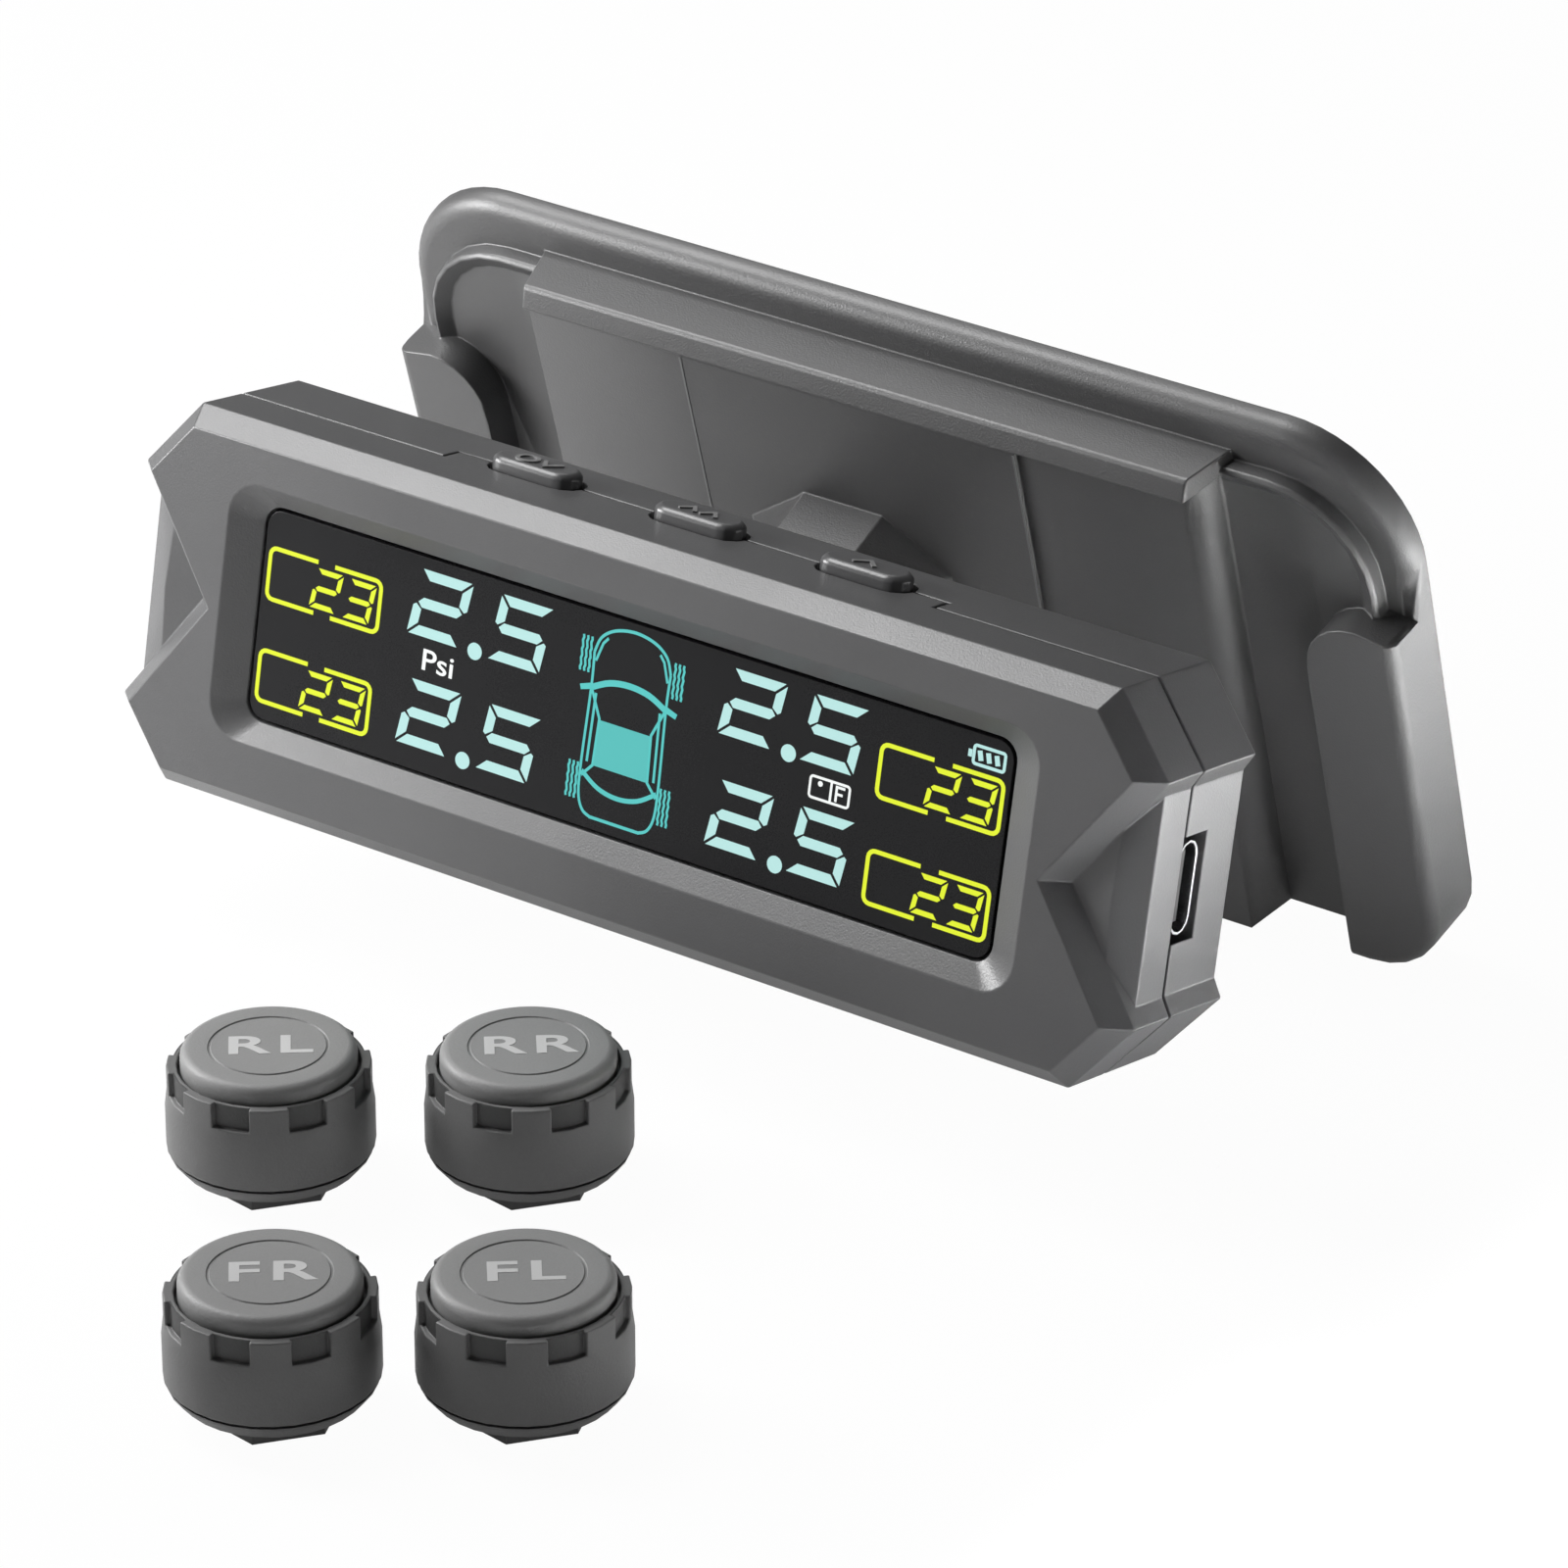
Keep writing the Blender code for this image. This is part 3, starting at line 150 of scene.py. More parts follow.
def grainedMaterial(name, colour, roughness, grainSize, grainDepth, mottle=0.12, metallic=0.0, specular=0.5):
    material = bpy.data.materials.new(name)
    material.use_nodes = True
    tree = material.node_tree
    shader = tree.nodes["Principled BSDF"]
    shader.inputs["Metallic"].default_value = metallic
    shader.inputs["Specular IOR Level"].default_value = specular
    place = tree.nodes.new("ShaderNodeTexCoord")
    grain = tree.nodes.new("ShaderNodeGroup")
    grain.node_tree = grainGroup
    grain.inputs["Colour"].default_value = (*colour, 1.0)
    grain.inputs["Roughness"].default_value = roughness
    grain.inputs["Grain Size"].default_value = grainSize
    grain.inputs["Grain Depth"].default_value = grainDepth
    grain.inputs["Mottle"].default_value = mottle
    tree.links.new(place.outputs["Object"], grain.inputs["Vector"])
    tree.links.new(grain.outputs["Colour"], shader.inputs["Base Color"])
    tree.links.new(grain.outputs["Roughness"], shader.inputs["Roughness"])
    tree.links.new(grain.outputs["Normal"], shader.inputs["Normal"])
    return material


def litMaterial(name, colour):
    dimmed = [litLook["dimmed"] * value for value in colour]
    material = grainedMaterial(name, dimmed, litLook["roughness"], litLook["grainSize"], litLook["grainDepth"],
                               litLook["mottle"], specular=litLook["specular"])
    shader = material.node_tree.nodes["Principled BSDF"]
    shader.inputs["Emission Color"].default_value = (*colour, 1.0)
    shader.inputs["Emission Strength"].default_value = litLook["strength"]
    return material


# Colour, roughness, grain size, grain depth, mottle and metal of each slot
finishes = {
    "case_plastic": grainedMaterial("casePlastic", (0.085, 0.085, 0.087), 0.36, 5200.0, 0.35, 0.2, specular=0.75),
    "holder_plastic": grainedMaterial("holderPlastic", (0.07, 0.07, 0.071), 0.43, 5200.0, 0.5, 0.25, specular=0.9),
    "button_plastic": grainedMaterial("buttonPlastic", (0.075, 0.075, 0.077), 0.34, 5200.0, 0.2, 0.14, specular=0.75),
    "screen_glass": grainedMaterial("screenBlack", (0.013, 0.013, 0.014), 0.28, 9000.0, 0.02, 0.05, specular=0.2),
    "lcd_dark": grainedMaterial("lcdDark", (0.03, 0.03, 0.035), 0.3, 8000.0, 0.05),
    "backlight_white": grainedMaterial("backlightWhite", (0.8, 0.8, 0.78), 0.5, 8000.0, 0.05, 0.05),
    "circuit_green": grainedMaterial("circuitGreen", (0.04, 0.2, 0.08), 0.45, 3000.0, 0.15, 0.3),
    "battery_foil": grainedMaterial("batteryFoil", (0.6, 0.6, 0.62), 0.35, 900.0, 0.25, 0.1, 1.0),
    "black_plastic": grainedMaterial("blackPlastic", (0.02, 0.02, 0.02), 0.5, 5200.0, 0.2),
    "brass": grainedMaterial("turnedBrass", (0.78, 0.57, 0.24), 0.32, 2500.0, 0.12, 0.12, 1.0),
    "steel": grainedMaterial("foldedSteel", (0.72, 0.72, 0.74), 0.24, 2500.0, 0.08, 0.08, 1.0),
    "adhesive_foam": grainedMaterial("adhesiveFoam", (0.05, 0.05, 0.05), 0.9, 1800.0, 0.6, 0.3),
    "gasket_rubber": grainedMaterial("gasketRubber", (0.03, 0.03, 0.03), 0.8, 2600.0, 0.3),
    "sensor_plastic": grainedMaterial("sensorPlastic", (0.13, 0.13, 0.13), 0.5, 4200.0, 0.45, 0.25),
}
nodeSlots = {entry["node"]: entry["material_slot"] for entry in frame["record"]["subparts"]}
for name, solid in nodes.items():
    solid.data.materials.clear()
    solid.data.materials.append(finishes[nodeSlots[name]])
print("finishes on", len(nodes), "nodes")

# Moulded pieces: each takes the solid's shape with its edges eased as a mould leaves them, by these widths in mm
wheels = ("rl", "rr", "fr", "fl")
easedEdges = {"front_bezel": 0.15, "rear_shell": 0.15, "holder": 0.18, "button_left": 0.22, "button_middle": 0.22,
              "button_right": 0.22, "usb_socket": 0.08, "screen_lens": 0.08}
for wheel in wheels:
    easedEdges["sensor_" + wheel + "_body"] = 0.16
    easedEdges["sensor_" + wheel + "_base"] = 0.22
easing = {"merge": 0.00001, "flatAngle": 0.6, "sharpAngle": 24, "segments": 3, "smoothAngle": 40, "flatWeight": 80}
holderRim = {"lean": 15.9, "padCentre": 30.0, "halfWidth": 57.2, "height": 59.5, "topRadius": 13.0, "footRadius": 8.0,
             "soften": {3.8: 2.0, 8.35: 1.3}, "segments": 5, "nearRim": 0.04}
visor = {"front": 10.25, "foot": 53.6, "moves": {(10.25, 55.1): (9.4, 55.45), (9.65, 55.7): (9.05, 55.7)}}
nearPlane = 0.02

# Pieces that take their full width everywhere, and the crowded corners, as boxes in mm, that stay crisp for it
looseEdges = ["front_bezel", "rear_shell", "holder", "button_left", "button_middle", "button_right"]
looseEdges += ["sensor_" + wheel + "_body" for wheel in wheels]
crispPlaces = {
    "holder": (((-60.0, -2.0, -31.5), (60.0, 9.0, -25.5)), ((-12.0, -33.0, -8.0), (12.0, -25.0, 6.0)),
               ((-60.0, -9.0, 7.0), (-54.0, -3.0, 12.0)), ((54.0, -9.0, 7.0), (60.0, -3.0, 12.0))),
    "front_bezel": (((44.0, -50.0, -16.0), (50.0, -46.0, -12.0)), ((-50.0, -44.0, 12.0), (-46.0, -40.0, 16.0))),
    "rear_shell": (((-50.0, -50.0, -20.0), (-46.0, -46.0, -15.0)), ((44.0, -44.0, 6.0), (52.0, -40.0, 14.0)),
                   ((52.0, -47.0, -8.0), (56.0, -38.0, 6.0))),
}
nodeBodies = {node: body for body, members in frame["record"]["behaviour"]["bodies"].items() for node in members}


def rimDistance(x, height):
    radius = holderRim["topRadius"] if height > holderRim["height"] / 2 else holderRim["footRadius"]
    centre = holderRim["height"] / 2
    overX = abs(x) - (holderRim["halfWidth"] - radius)
    overZ = abs(height - centre) - (centre - radius)
    return math.hypot(max(overX, 0.0), max(overZ, 0.0)) + min(max(overX, overZ), 0.0) - radius


def slopeVisor(piece, toHolder):
    # The lip over the block leans back, so it is parted from the panel below it before its upper edge moves
    fromHolder = toHolder.inverted()
    bpy.ops.mesh.select_all(action="DESELECT")
    bpy.ops.mesh.select_mode(type="FACE")
    bpy.ops.object.mode_set(mode="OBJECT")
    for face in piece.data.polygons:
        depths = [(toHolder @ piece.data.vertices[index].co).y / mm for index in face.vertices]
        face.select = all(abs(depth + visor["front"]) < nearPlane for depth in depths)
    bpy.ops.object.mode_set(mode="EDIT")
    foot = fromHolder @ Vector((0.0, 0.0, (visor["foot"] - holderRim["padCentre"]) * mm))
    bpy.ops.mesh.bisect(plane_co=foot, plane_no=fromHolder.to_3x3() @ Vector((0.0, 0.0, 1.0)))
    bpy.ops.object.mode_set(mode="OBJECT")
    for corner in piece.data.vertices:
        x, y, z = (toHolder @ corner.co) / mm
        for (front, height), (newFront, newHeight) in visor["moves"].items():
            if abs(y + front) < nearPlane and abs(z + holderRim["padCentre"] - height) < nearPlane:
                corner.co = fromHolder @ (Vector((x, -newFront, newHeight - holderRim["padCentre"])) * mm)
    bpy.ops.object.mode_set(mode="EDIT")


def softenRim(piece):
    # The holder's outline is rounded over at the front of its flange and at the front of its side rails
    toHolder = Matrix.Rotation(math.radians(-holderRim["lean"]), 4, "X")
    slopeVisor(piece, toHolder)
    for front, width in holderRim["soften"].items():
        bpy.ops.mesh.select_all(action="DESELECT")
        bpy.ops.object.mode_set(mode="OBJECT")
        chosen = set()
        for corner in piece.data.vertices:
            x, y, z = (toHolder @ corner.co) / mm
            onRim = abs(rimDistance(x, z + holderRim["padCentre"])) < holderRim["nearRim"]
            if onRim and abs(front + y) < nearPlane:
                chosen.add(corner.index)
        for edge in piece.data.edges:
            edge.select = all(end in chosen for end in edge.vertices)
        bpy.ops.object.mode_set(mode="EDIT")
        bpy.ops.mesh.select_mode(type="EDGE")
        bpy.ops.mesh.bevel(offset=width * mm, segments=holderRim["segments"], affect="EDGES", clamp_overlap=False)


def easeEdges(name, width):
    piece = nodes[name].copy()
    piece.data = nodes[name].data.copy()
    piece.parent = None
    piece.matrix_world = Matrix.Identity(4)
    bpy.context.collection.objects.link(piece)
    piece.name = name + "_moulded"
    pick(piece)
    bpy.ops.object.mode_set(mode="EDIT")
    bpy.ops.mesh.select_all(action="SELECT")
    bpy.ops.mesh.remove_doubles(threshold=easing["merge"])
    bpy.ops.mesh.dissolve_limited(angle_limit=math.radians(easing["flatAngle"]))
    if name == "holder":
        softenRim(piece)
    bpy.ops.mesh.select_mode(type="EDGE")
    bpy.ops.mesh.select_all(action="DESELECT")
    bpy.ops.mesh.edges_select_sharp(sharpness=math.radians(easing["sharpAngle"]))
    bpy.ops.object.mode_set(mode="OBJECT")
    for low, high in crispPlaces.get(name, ()):
        for edge in piece.data.edges:
            ends = [piece.data.vertices[end].co / mm for end in edge.vertices]
            if any(all(a < value < b for a, value, b in zip(low, end, high)) for end in ends):
                edge.select = False
    weights = piece.data.attributes.new("bevel_weight_edge", "FLOAT", "EDGE")
    for edge in piece.data.edges:
        weights.data[edge.index].value = float(edge.select)
    step = piece.modifiers.new("easedEdges", "BEVEL")
    step.width = width * mm
    step.segments = easing["segments"]
    step.limit_method = "WEIGHT"
    step.use_clamp_overlap = name not in looseEdges
    step.harden_normals = False
    applyModifiers(piece)
    bpy.ops.object.shade_smooth_by_angle(angle=math.radians(easing["smoothAngle"]))
    flats = piece.modifiers.new("flatFaces", "WEIGHTED_NORMAL")
    flats.keep_sharp = True
    flats.weight = easing["flatWeight"]
    applyModifiers(piece)
    settle(piece, Matrix.Identity(4), nodeBodies[name], finishes[nodeSlots[name]], (name,))


for name, width in easedEdges.items():
    easeEdges(name, width)
print("eased edges on", len(easedEdges), "pieces")

# Thin plates from flat outlines: the lit screen figures here, and the raised lines and marks further down
printThickness = 0.03 * mm
strokeLimits = {"run": 1e-9, "mitre": 0.4}


def plates(name, outlines, material, body="display", matrix=None, base=0.0,
           thickness=printThickness):
    points, faces = [], []
    for outline in outlines:
        faces.append(list(range(len(points), len(points) + len(outline))))
        points += [(x * mm, base, z * mm) for x, z in outline]
    mesh = bpy.data.meshes.new(name)
    mesh.from_pydata(points, [], faces)
    piece = bpy.data.objects.new(name, mesh)
    bpy.context.collection.objects.link(piece)
    pick(piece)
    bpy.ops.object.mode_set(mode="EDIT")
    bpy.ops.mesh.select_all(action="SELECT")
    bpy.ops.mesh.extrude_region_move(TRANSFORM_OT_translate={"value": (0.0, -thickness, 0.0)})
    bpy.ops.mesh.select_all(action="SELECT")
    bpy.ops.mesh.normals_make_consistent(inside=False)
    bpy.ops.object.mode_set(mode="OBJECT")
    settle(piece, matrix or displayFrame, body, material)


def stroke(points, width, closed=False):
    count = len(points)
    sides = ([], [])
    for index in range(count):
        here = Vector(points[index])
        before = Vector(points[index - 1]) if closed or index else here
        after = Vector(points[(index + 1) % count]) if closed or index < count - 1 else here
        runs = [run.normalized() for run in (here - before, after - here) if run.length > strokeLimits["run"]]
        along = sum(runs, Vector((0.0, 0.0))).normalized()
        across = Vector((-along.y, along.x))
        reach = width / 2 / max(strokeLimits["mitre"], across.dot(Vector((-runs[0].y, runs[0].x))))
        sides[0].append(tuple(here + across * reach))
        sides[1].append(tuple(here - across * reach))
    spans = range(count if closed else count - 1)
    return [[sides[0][i], sides[0][(i + 1) % count], sides[1][(i + 1) % count], sides[1][i]] for i in spans]


def curveThrough(points, steps=5):
    ends = [points[0]] + list(points) + [points[-1]]
    smooth = []
    for a, b, c, d in zip(ends, ends[1:], ends[2:], ends[3:]):
        for step in range(steps):
            t = step / steps
            smooth.append(tuple(0.5 * (2 * q + (r - p) * t + (2 * p - 5 * q + 4 * r - s) * t * t
                                       + (3 * q - p - 3 * r + s) * t ** 3) for p, q, r, s in zip(a, b, c, d)))
    return smooth + [points[-1]]


def roundedRun(low, high, radius, steps=4):
    run = []
    for turn, (x, z) in enumerate(((high[0] - radius, high[1] - radius), (low[0] + radius, high[1] - radius),
                                   (low[0] + radius, low[1] + radius), (high[0] - radius, low[1] + radius))):
        for step in range(steps + 1):
            angle = math.pi / 2 * (turn + step / steps)
            run.append((x + radius * math.cos(angle), z + radius * math.sin(angle)))
    return run


def disc(x, z, radius, steps=20):
    return [(x + radius * math.cos(2 * math.pi * k / steps), z + radius * math.sin(2 * math.pi * k / steps))
            for k in range(steps)]


segmentsOf = {"2": "abged", "3": "abgcd", "5": "afgcd"}
segmentShares = {"tip": 0.3, "shoulder": 0.8, "rise": 0.2}


def figure(digit, x, z, look):
    width, height, thick, gap, slant = (look[key] for key in ("width", "height", "thick", "gap", "slant"))
    half, bar = height / 2, thick / 2
    tip, shoulder, rise = (thick * segmentShares[key] for key in ("tip", "shoulder", "rise"))
    outlines = {
        "a": [(gap, height), (width - gap, height), (width - thick - gap, height - thick),
              (thick + gap, height - thick)],
        "d": [(gap, 0), (thick + gap, thick), (width - thick - gap, thick), (width - gap, 0)],
        "g": [(tip + gap, half), (shoulder + gap, half + bar), (width - shoulder - gap, half + bar),
              (width - tip - gap, half), (width - shoulder - gap, half - bar), (shoulder + gap, half - bar)],
        "b": [(width, height - gap), (width - thick, height - thick - gap), (width - thick, half + bar + gap),
              (width - tip, half + gap), (width, half + rise + gap)],
    }
    outlines["c"] = [(px, height - pz) for px, pz in outlines["b"]]
    outlines["f"] = [(width - px, pz) for px, pz in outlines["b"]]
    outlines["e"] = [(width - px, pz) for px, pz in outlines["c"]]
    return [[(x + px + slant * (pz - half), z + pz) for px, pz in outlines[letter]] for letter in segmentsOf[digit]]


pressure = {"height": 6.4, "width": 6.0, "thick": 0.98, "gap": 0.2, "slant": 0.16, "rows": (3.4, -7.2),
            "columns": ((-24.4, -15.1), (11.1, 20.1)), "dots": (-17.0, 18.5), "dotRadius": 0.82, "dotRise": 0.2}
temperature = {"height": 3.9, "width": 3.1, "thick": 0.5, "gap": 0.15, "slant": 0.16, "line": 0.42,
               "size": (13.1, 4.95), "lefts": (-41.4, 28.3), "bottoms": (2.3, -7.7), "digits": (5.3, 9.2),
               "digitRise": 0.5, "breaks": (5.6, 7.6), "corner": 0.7}
cyanPlates = []
yellowPlates = []
for column, (first, second) in enumerate(pressure["columns"]):
    for bottom in pressure["rows"]:
        for digit, x in (("2", first), ("5", second)):
            cyanPlates += figure(digit, x, bottom, pressure)
        cyanPlates.append(disc(pressure["dots"][column], bottom + pressure["dotRise"], pressure["dotRadius"]))
wide, tall = temperature["size"]
for left in temperature["lefts"]:
    for bottom in temperature["bottoms"]:
        ring = roundedRun((left, bottom), (left + wide, bottom + tall), temperature["corner"])
        corner = len(ring) // 4
        first, second = (left + value for value in temperature["breaks"])
        leftRun = [(first, bottom + tall)] + ring[corner:3 * corner] + [(first, bottom)]
        rightRun = [(second, bottom)] + ring[3 * corner:] + ring[:corner] + [(second, bottom + tall)]
        yellowPlates += stroke(leftRun, temperature["line"]) + stroke(rightRun, temperature["line"])
        for digit, shift in zip("23", temperature["digits"]):
            yellowPlates += figure(digit, left + shift, bottom + temperature["digitRise"], temperature)

battery = {"low": (37.9, 8.1), "high": (41.2, 9.8), "corner": 0.25, "line": 0.3,
           "terminal": ((37.5, 8.6), (37.5, 9.3)), "terminalLine": 0.4,
           "bars": (38.6, 39.5, 40.4), "barLean": 0.12, "barTop": 9.4, "barFoot": 8.5, "barLine": 0.5}
cyanPlates += stroke(roundedRun(battery["low"], battery["high"], battery["corner"]), battery["line"], True)
cyanPlates += stroke(battery["terminal"], battery["terminalLine"])
for x in battery["bars"]:
    bar = [(x - battery["barLean"], battery["barTop"]), (x + battery["barLean"], battery["barFoot"])]
    cyanPlates += stroke(bar, battery["barLine"])

unitBox = {"low": (21.2, 0.3), "high": (25.5, 2.3), "corner": 0.3, "line": 0.24, "divider": ((23.5, 0.3), (23.5, 2.3)),
           "letter": ((24.1, 0.55), (24.1, 1.95), (25.0, 1.95)), "letterBar": ((24.1, 1.3), (24.8, 1.3)),
           "dot": (22.3, 1.75, 0.26)}
whitePlates = stroke(roundedRun(unitBox["low"], unitBox["high"], unitBox["corner"]), unitBox["line"], True)
for part in ("divider", "letter", "letterBar"):
    whitePlates += stroke(unitBox[part], unitBox["line"])
whitePlates.append(disc(*unitBox["dot"]))

# Plan of a vehicle between the two pairs of figures: its left half is drawn twice, the second time mirrored
car = {
    "middle": 0.6, "slim": 0.86, "line": 0.3, "wingLine": 0.28, "windscreenLine": 0.6, "rearGlassLine": 0.45,
    "side": [(-5.0, 7.2), (-4.9, 3.9), (-5.1, -3.0), (-5.0, -6.3), (-4.3, -7.8), (-3.2, -8.3)],
    "cabin": [(-4.8, 3.7), (-3.4, 1.1), (-3.6, -3.4), (-4.9, -4.6)],
    "sill": [(-4.2, 3.4), (-4.4, -3.2)],
    "wing": [(-4.7, 6.4), (-4.0, 8.2), (-3.4, 8.8)],
    "mirror": [(-5.0, 4.2), (-6.4, 3.8), (-6.2, 3.3), (-5.0, 3.6)],
    "nose": [(-5.0, 7.2), (-4.3, 8.7), (-2.6, 9.7), (0.0, 10.1), (2.6, 9.7), (4.3, 8.7), (5.0, 7.2)],
    "windscreen": [(-4.9, 3.8), (-2.6, 4.7), (0.0, 5.0), (2.6, 4.7), (4.9, 3.8)],
    "rearGlass": [(-4.9, -4.2), (-2.6, -5.4), (0.0, -5.8), (2.6, -5.4), (4.9, -4.2)],
    "tail": [(-3.3, -8.3), (3.3, -8.3)],
    "roof": [(-3.3, 1.0), (3.3, 1.0), (3.5, -3.4), (-3.5, -3.4)],
}
tread = {"ends": ((8.5, 5.1), (-3.5, -7.0)), "places": (-6.6, -6.05, -5.5), "line": 0.27, "sway": 0.07, "turn": 2.1,
         "steps": 12}
tealPlates = []


def onCar(outlines, mirrored=False):
    side = -1 if mirrored else 1
    return [[(car["middle"] + side * car["slim"] * x, z) for x, z in outline] for outline in outlines]


for mirrored in (False, True):
    tealPlates += onCar(stroke(curveThrough(car["side"]), car["line"]), mirrored)
    tealPlates += onCar(stroke(car["cabin"], car["line"]) + stroke(car["sill"], car["line"]), mirrored)
    tealPlates += onCar(stroke(car["wing"], car["wingLine"]) + [car["mirror"]], mirrored)
    for top, bottom in tread["ends"]:
        for x in tread["places"]:
            wave = [(x + tread["sway"] * math.sin(step * tread["turn"]), top + (bottom - top) * step / tread["steps"])
                    for step in range(tread["steps"] + 1)]
            tealPlates += onCar(stroke(wave, tread["line"]), mirrored)
tealPlates += onCar(stroke(curveThrough(car["nose"]), car["line"]))
tealPlates += onCar(stroke(curveThrough(car["windscreen"]), car["windscreenLine"]))
tealPlates += onCar(stroke(curveThrough(car["rearGlass"]), car["rearGlassLine"]))
tealPlates += onCar(stroke(car["tail"], car["line"]))

glow = {"cyan": (0.43, 0.69, 0.67), "yellow": (0.68, 0.78, 0.03), "teal": (0.088, 0.5, 0.48),
        "roof": (0.085, 0.45, 0.43), "pale": (0.8, 0.83, 0.82)}
lensFront = display["lensDepth"]
plates("pressureFigures", cyanPlates, litMaterial("figureCyan", glow["cyan"]), base=lensFront)
plates("temperatureFigures", yellowPlates, litMaterial("figureYellow", glow["yellow"]), base=lensFront)
plates("vehiclePlan", tealPlates, litMaterial("figureTeal", glow["teal"]), base=lensFront)
plates("vehicleRoof", onCar([car["roof"]]), litMaterial("roofTeal", glow["roof"]), base=lensFront)
paleLit = litMaterial("figurePale", glow["pale"])
plates("unitBox", whitePlates, paleLit, base=lensFront)


def lettering(name, words, size, matrix, body, material, bold, spacing=1.0):
    deselectAll()
    bpy.ops.object.text_add(location=(0, 0, 0))
    piece = bpy.context.object
    piece.name = name
    piece.data.body = words
    piece.data.size = size * mm
    piece.data.align_x = "CENTER"
    piece.data.align_y = "CENTER"
    piece.data.extrude = printThickness
    piece.data.offset = bold * mm
    piece.data.space_character = spacing
    bpy.ops.object.convert(target="MESH")
    settle(bpy.context.object, matrix, body, material)


unitWord = {"words": "Psi", "size": 2.9, "stretch": 1.22, "bold": 0.02, "x": -21.0 * mm, "z": 1.2 * mm}
upright = Matrix.Rotation(math.radians(90), 4, "X")
unitPlace = Matrix.Translation((unitWord["x"], lensFront, unitWord["z"]))
unitFrame = displayFrame @ unitPlace @ upright @ Matrix.Scale(unitWord["stretch"], 4, (1, 0, 0))
lettering("unitWord", unitWord["words"], unitWord["size"], unitFrame, "display", paleLit, unitWord["bold"])
print("screen figures drawn")

# Witness lines down both edges of the holder's centre panel: thin strips 0.05 mm proud, in a lighter plastic that
# paints the edge highlight along them
witness = {"x": 19.1, "width": 0.24, "heights": (14.0, 53.4), "front": visor["front"], "proud": 0.05 * mm}
# Lighter grey that paints the thin highlight along the panel's edges onto the witness lines
witnessPaintedHighlight = grainedMaterial("witnessPaintedHighlight", (0.15, 0.15, 0.152), 0.4, 5200.0, 0.3, 0.2, specular=0.9)
witnessRuns = [stroke([(x, height - holderRim["padCentre"]) for height in witness["heights"]], witness["width"])[0]
               for x in (-witness["x"] + witness["width"] / 2, witness["x"] - witness["width"] / 2)]
plates("witnessLines", witnessRuns, witnessPaintedHighlight, nodeBodies["holder"],
       Matrix.Rotation(math.radians(holderRim["lean"]), 4, "X"), -witness["front"] * mm, witness["proud"])
print("witness lines drawn")

# Sensor lids: turned caps with an engraved ring, lighter than the body as painted light from above, a band of painted
# shade round the crown's teeth standing for the shade in the notches between them, and printed letters for the wheel
lidLow, lidHigh = ((corner[2] - floorHeight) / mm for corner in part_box("sensor_rl_lid"))
lid = {"radius": 7.95, "bottom": lidLow, "top": lidHigh, "edge": 0.9, "edgeSteps": 6, "ringRadius": 5.3,
       "ringWidth": 0.16, "ringDepth": 0.12, "letters": 4.5, "stretch": 1.45, "bold": 0.09, "spacing": 1.22}
# Size of the ring of painted shade that shows dark through the notches of the crown
crown = {"radii": (8.55, 8.68), "drop": 1.6, "heights": (-2.28, -0.03)}
turning = {"steps": 96, "seam": 0.00001, "merge": 0.000005, "smoothAngle": 28}
sensorTurn = math.radians(38.7)
letterPrint = grainedMaterial("letterPrint", (0.5, 0.5, 0.5), 0.6, 5200.0, 0.15, 0.1)
# Dark grey of painted shade for the notches between the crown's teeth
paintedNotchShade = grainedMaterial("paintedNotchShade", (0.055, 0.055, 0.055), 0.6, 4200.0, 0.45, 0.25)
# The lids are a separate turned part in a lighter grey than the sensor body; that extra lightness is painted light,
# standing for the light from above on the sensors' tops
lidPaintedTopLight = grainedMaterial("lidPaintedTopLight", (0.23, 0.23, 0.23), 0.5, 4200.0, 0.45, 0.22)


def turnedPiece(name, profile, place, body, material, replaced=()):
    mesh = bpy.data.meshes.new(name)
    mesh.from_pydata([(x * mm, 0.0, z * mm) for x, z in profile], [(i, i + 1) for i in range(len(profile) - 1)], [])
    piece = bpy.data.objects.new(name, mesh)
    bpy.context.collection.objects.link(piece)
    step = piece.modifiers.new("turn", "SCREW")
    step.steps = turning["steps"]
    step.render_steps = turning["steps"]
    step.use_merge_vertices = True
    step.merge_threshold = turning["seam"]
    applyModifiers(piece)
    bpy.ops.object.mode_set(mode="EDIT")
    bpy.ops.mesh.select_all(action="SELECT")
    bpy.ops.mesh.remove_doubles(threshold=turning["merge"])
    bpy.ops.mesh.normals_make_consistent(inside=False)
    bpy.ops.object.mode_set(mode="OBJECT")
    bpy.ops.object.shade_smooth_by_angle(angle=math.radians(turning["smoothAngle"]))
    settle(piece, place, body, material, replaced)


# A lid turned in the lighter grey of painted top light
def turnedLid(wheel, place):
    angles = [math.pi / 2 * k / lid["edgeSteps"] for k in range(lid["edgeSteps"] + 1)]
    edge = [(lid["radius"] - lid["edge"] + lid["edge"] * math.cos(angle),
             lid["top"] - lid["edge"] + lid["edge"] * math.sin(angle)) for angle in angles]
    ring, half = lid["ringRadius"], lid["ringWidth"] / 2
    groove = [(ring + 2 * half, lid["top"]), (ring + half, lid["top"] - lid["ringDepth"]),
              (ring - half, lid["top"] - lid["ringDepth"]), (ring - 2 * half, lid["top"])]
    profile = [(0.0, lid["bottom"]), (lid["radius"], lid["bottom"])] + edge + groove + [(0.0, lid["top"])]
    turnedPiece("sensor_" + wheel + "_turnedLid", profile, place, "sensor_" + wheel + "_cap", lidPaintedTopLight,
                ("sensor_" + wheel + "_lid",))


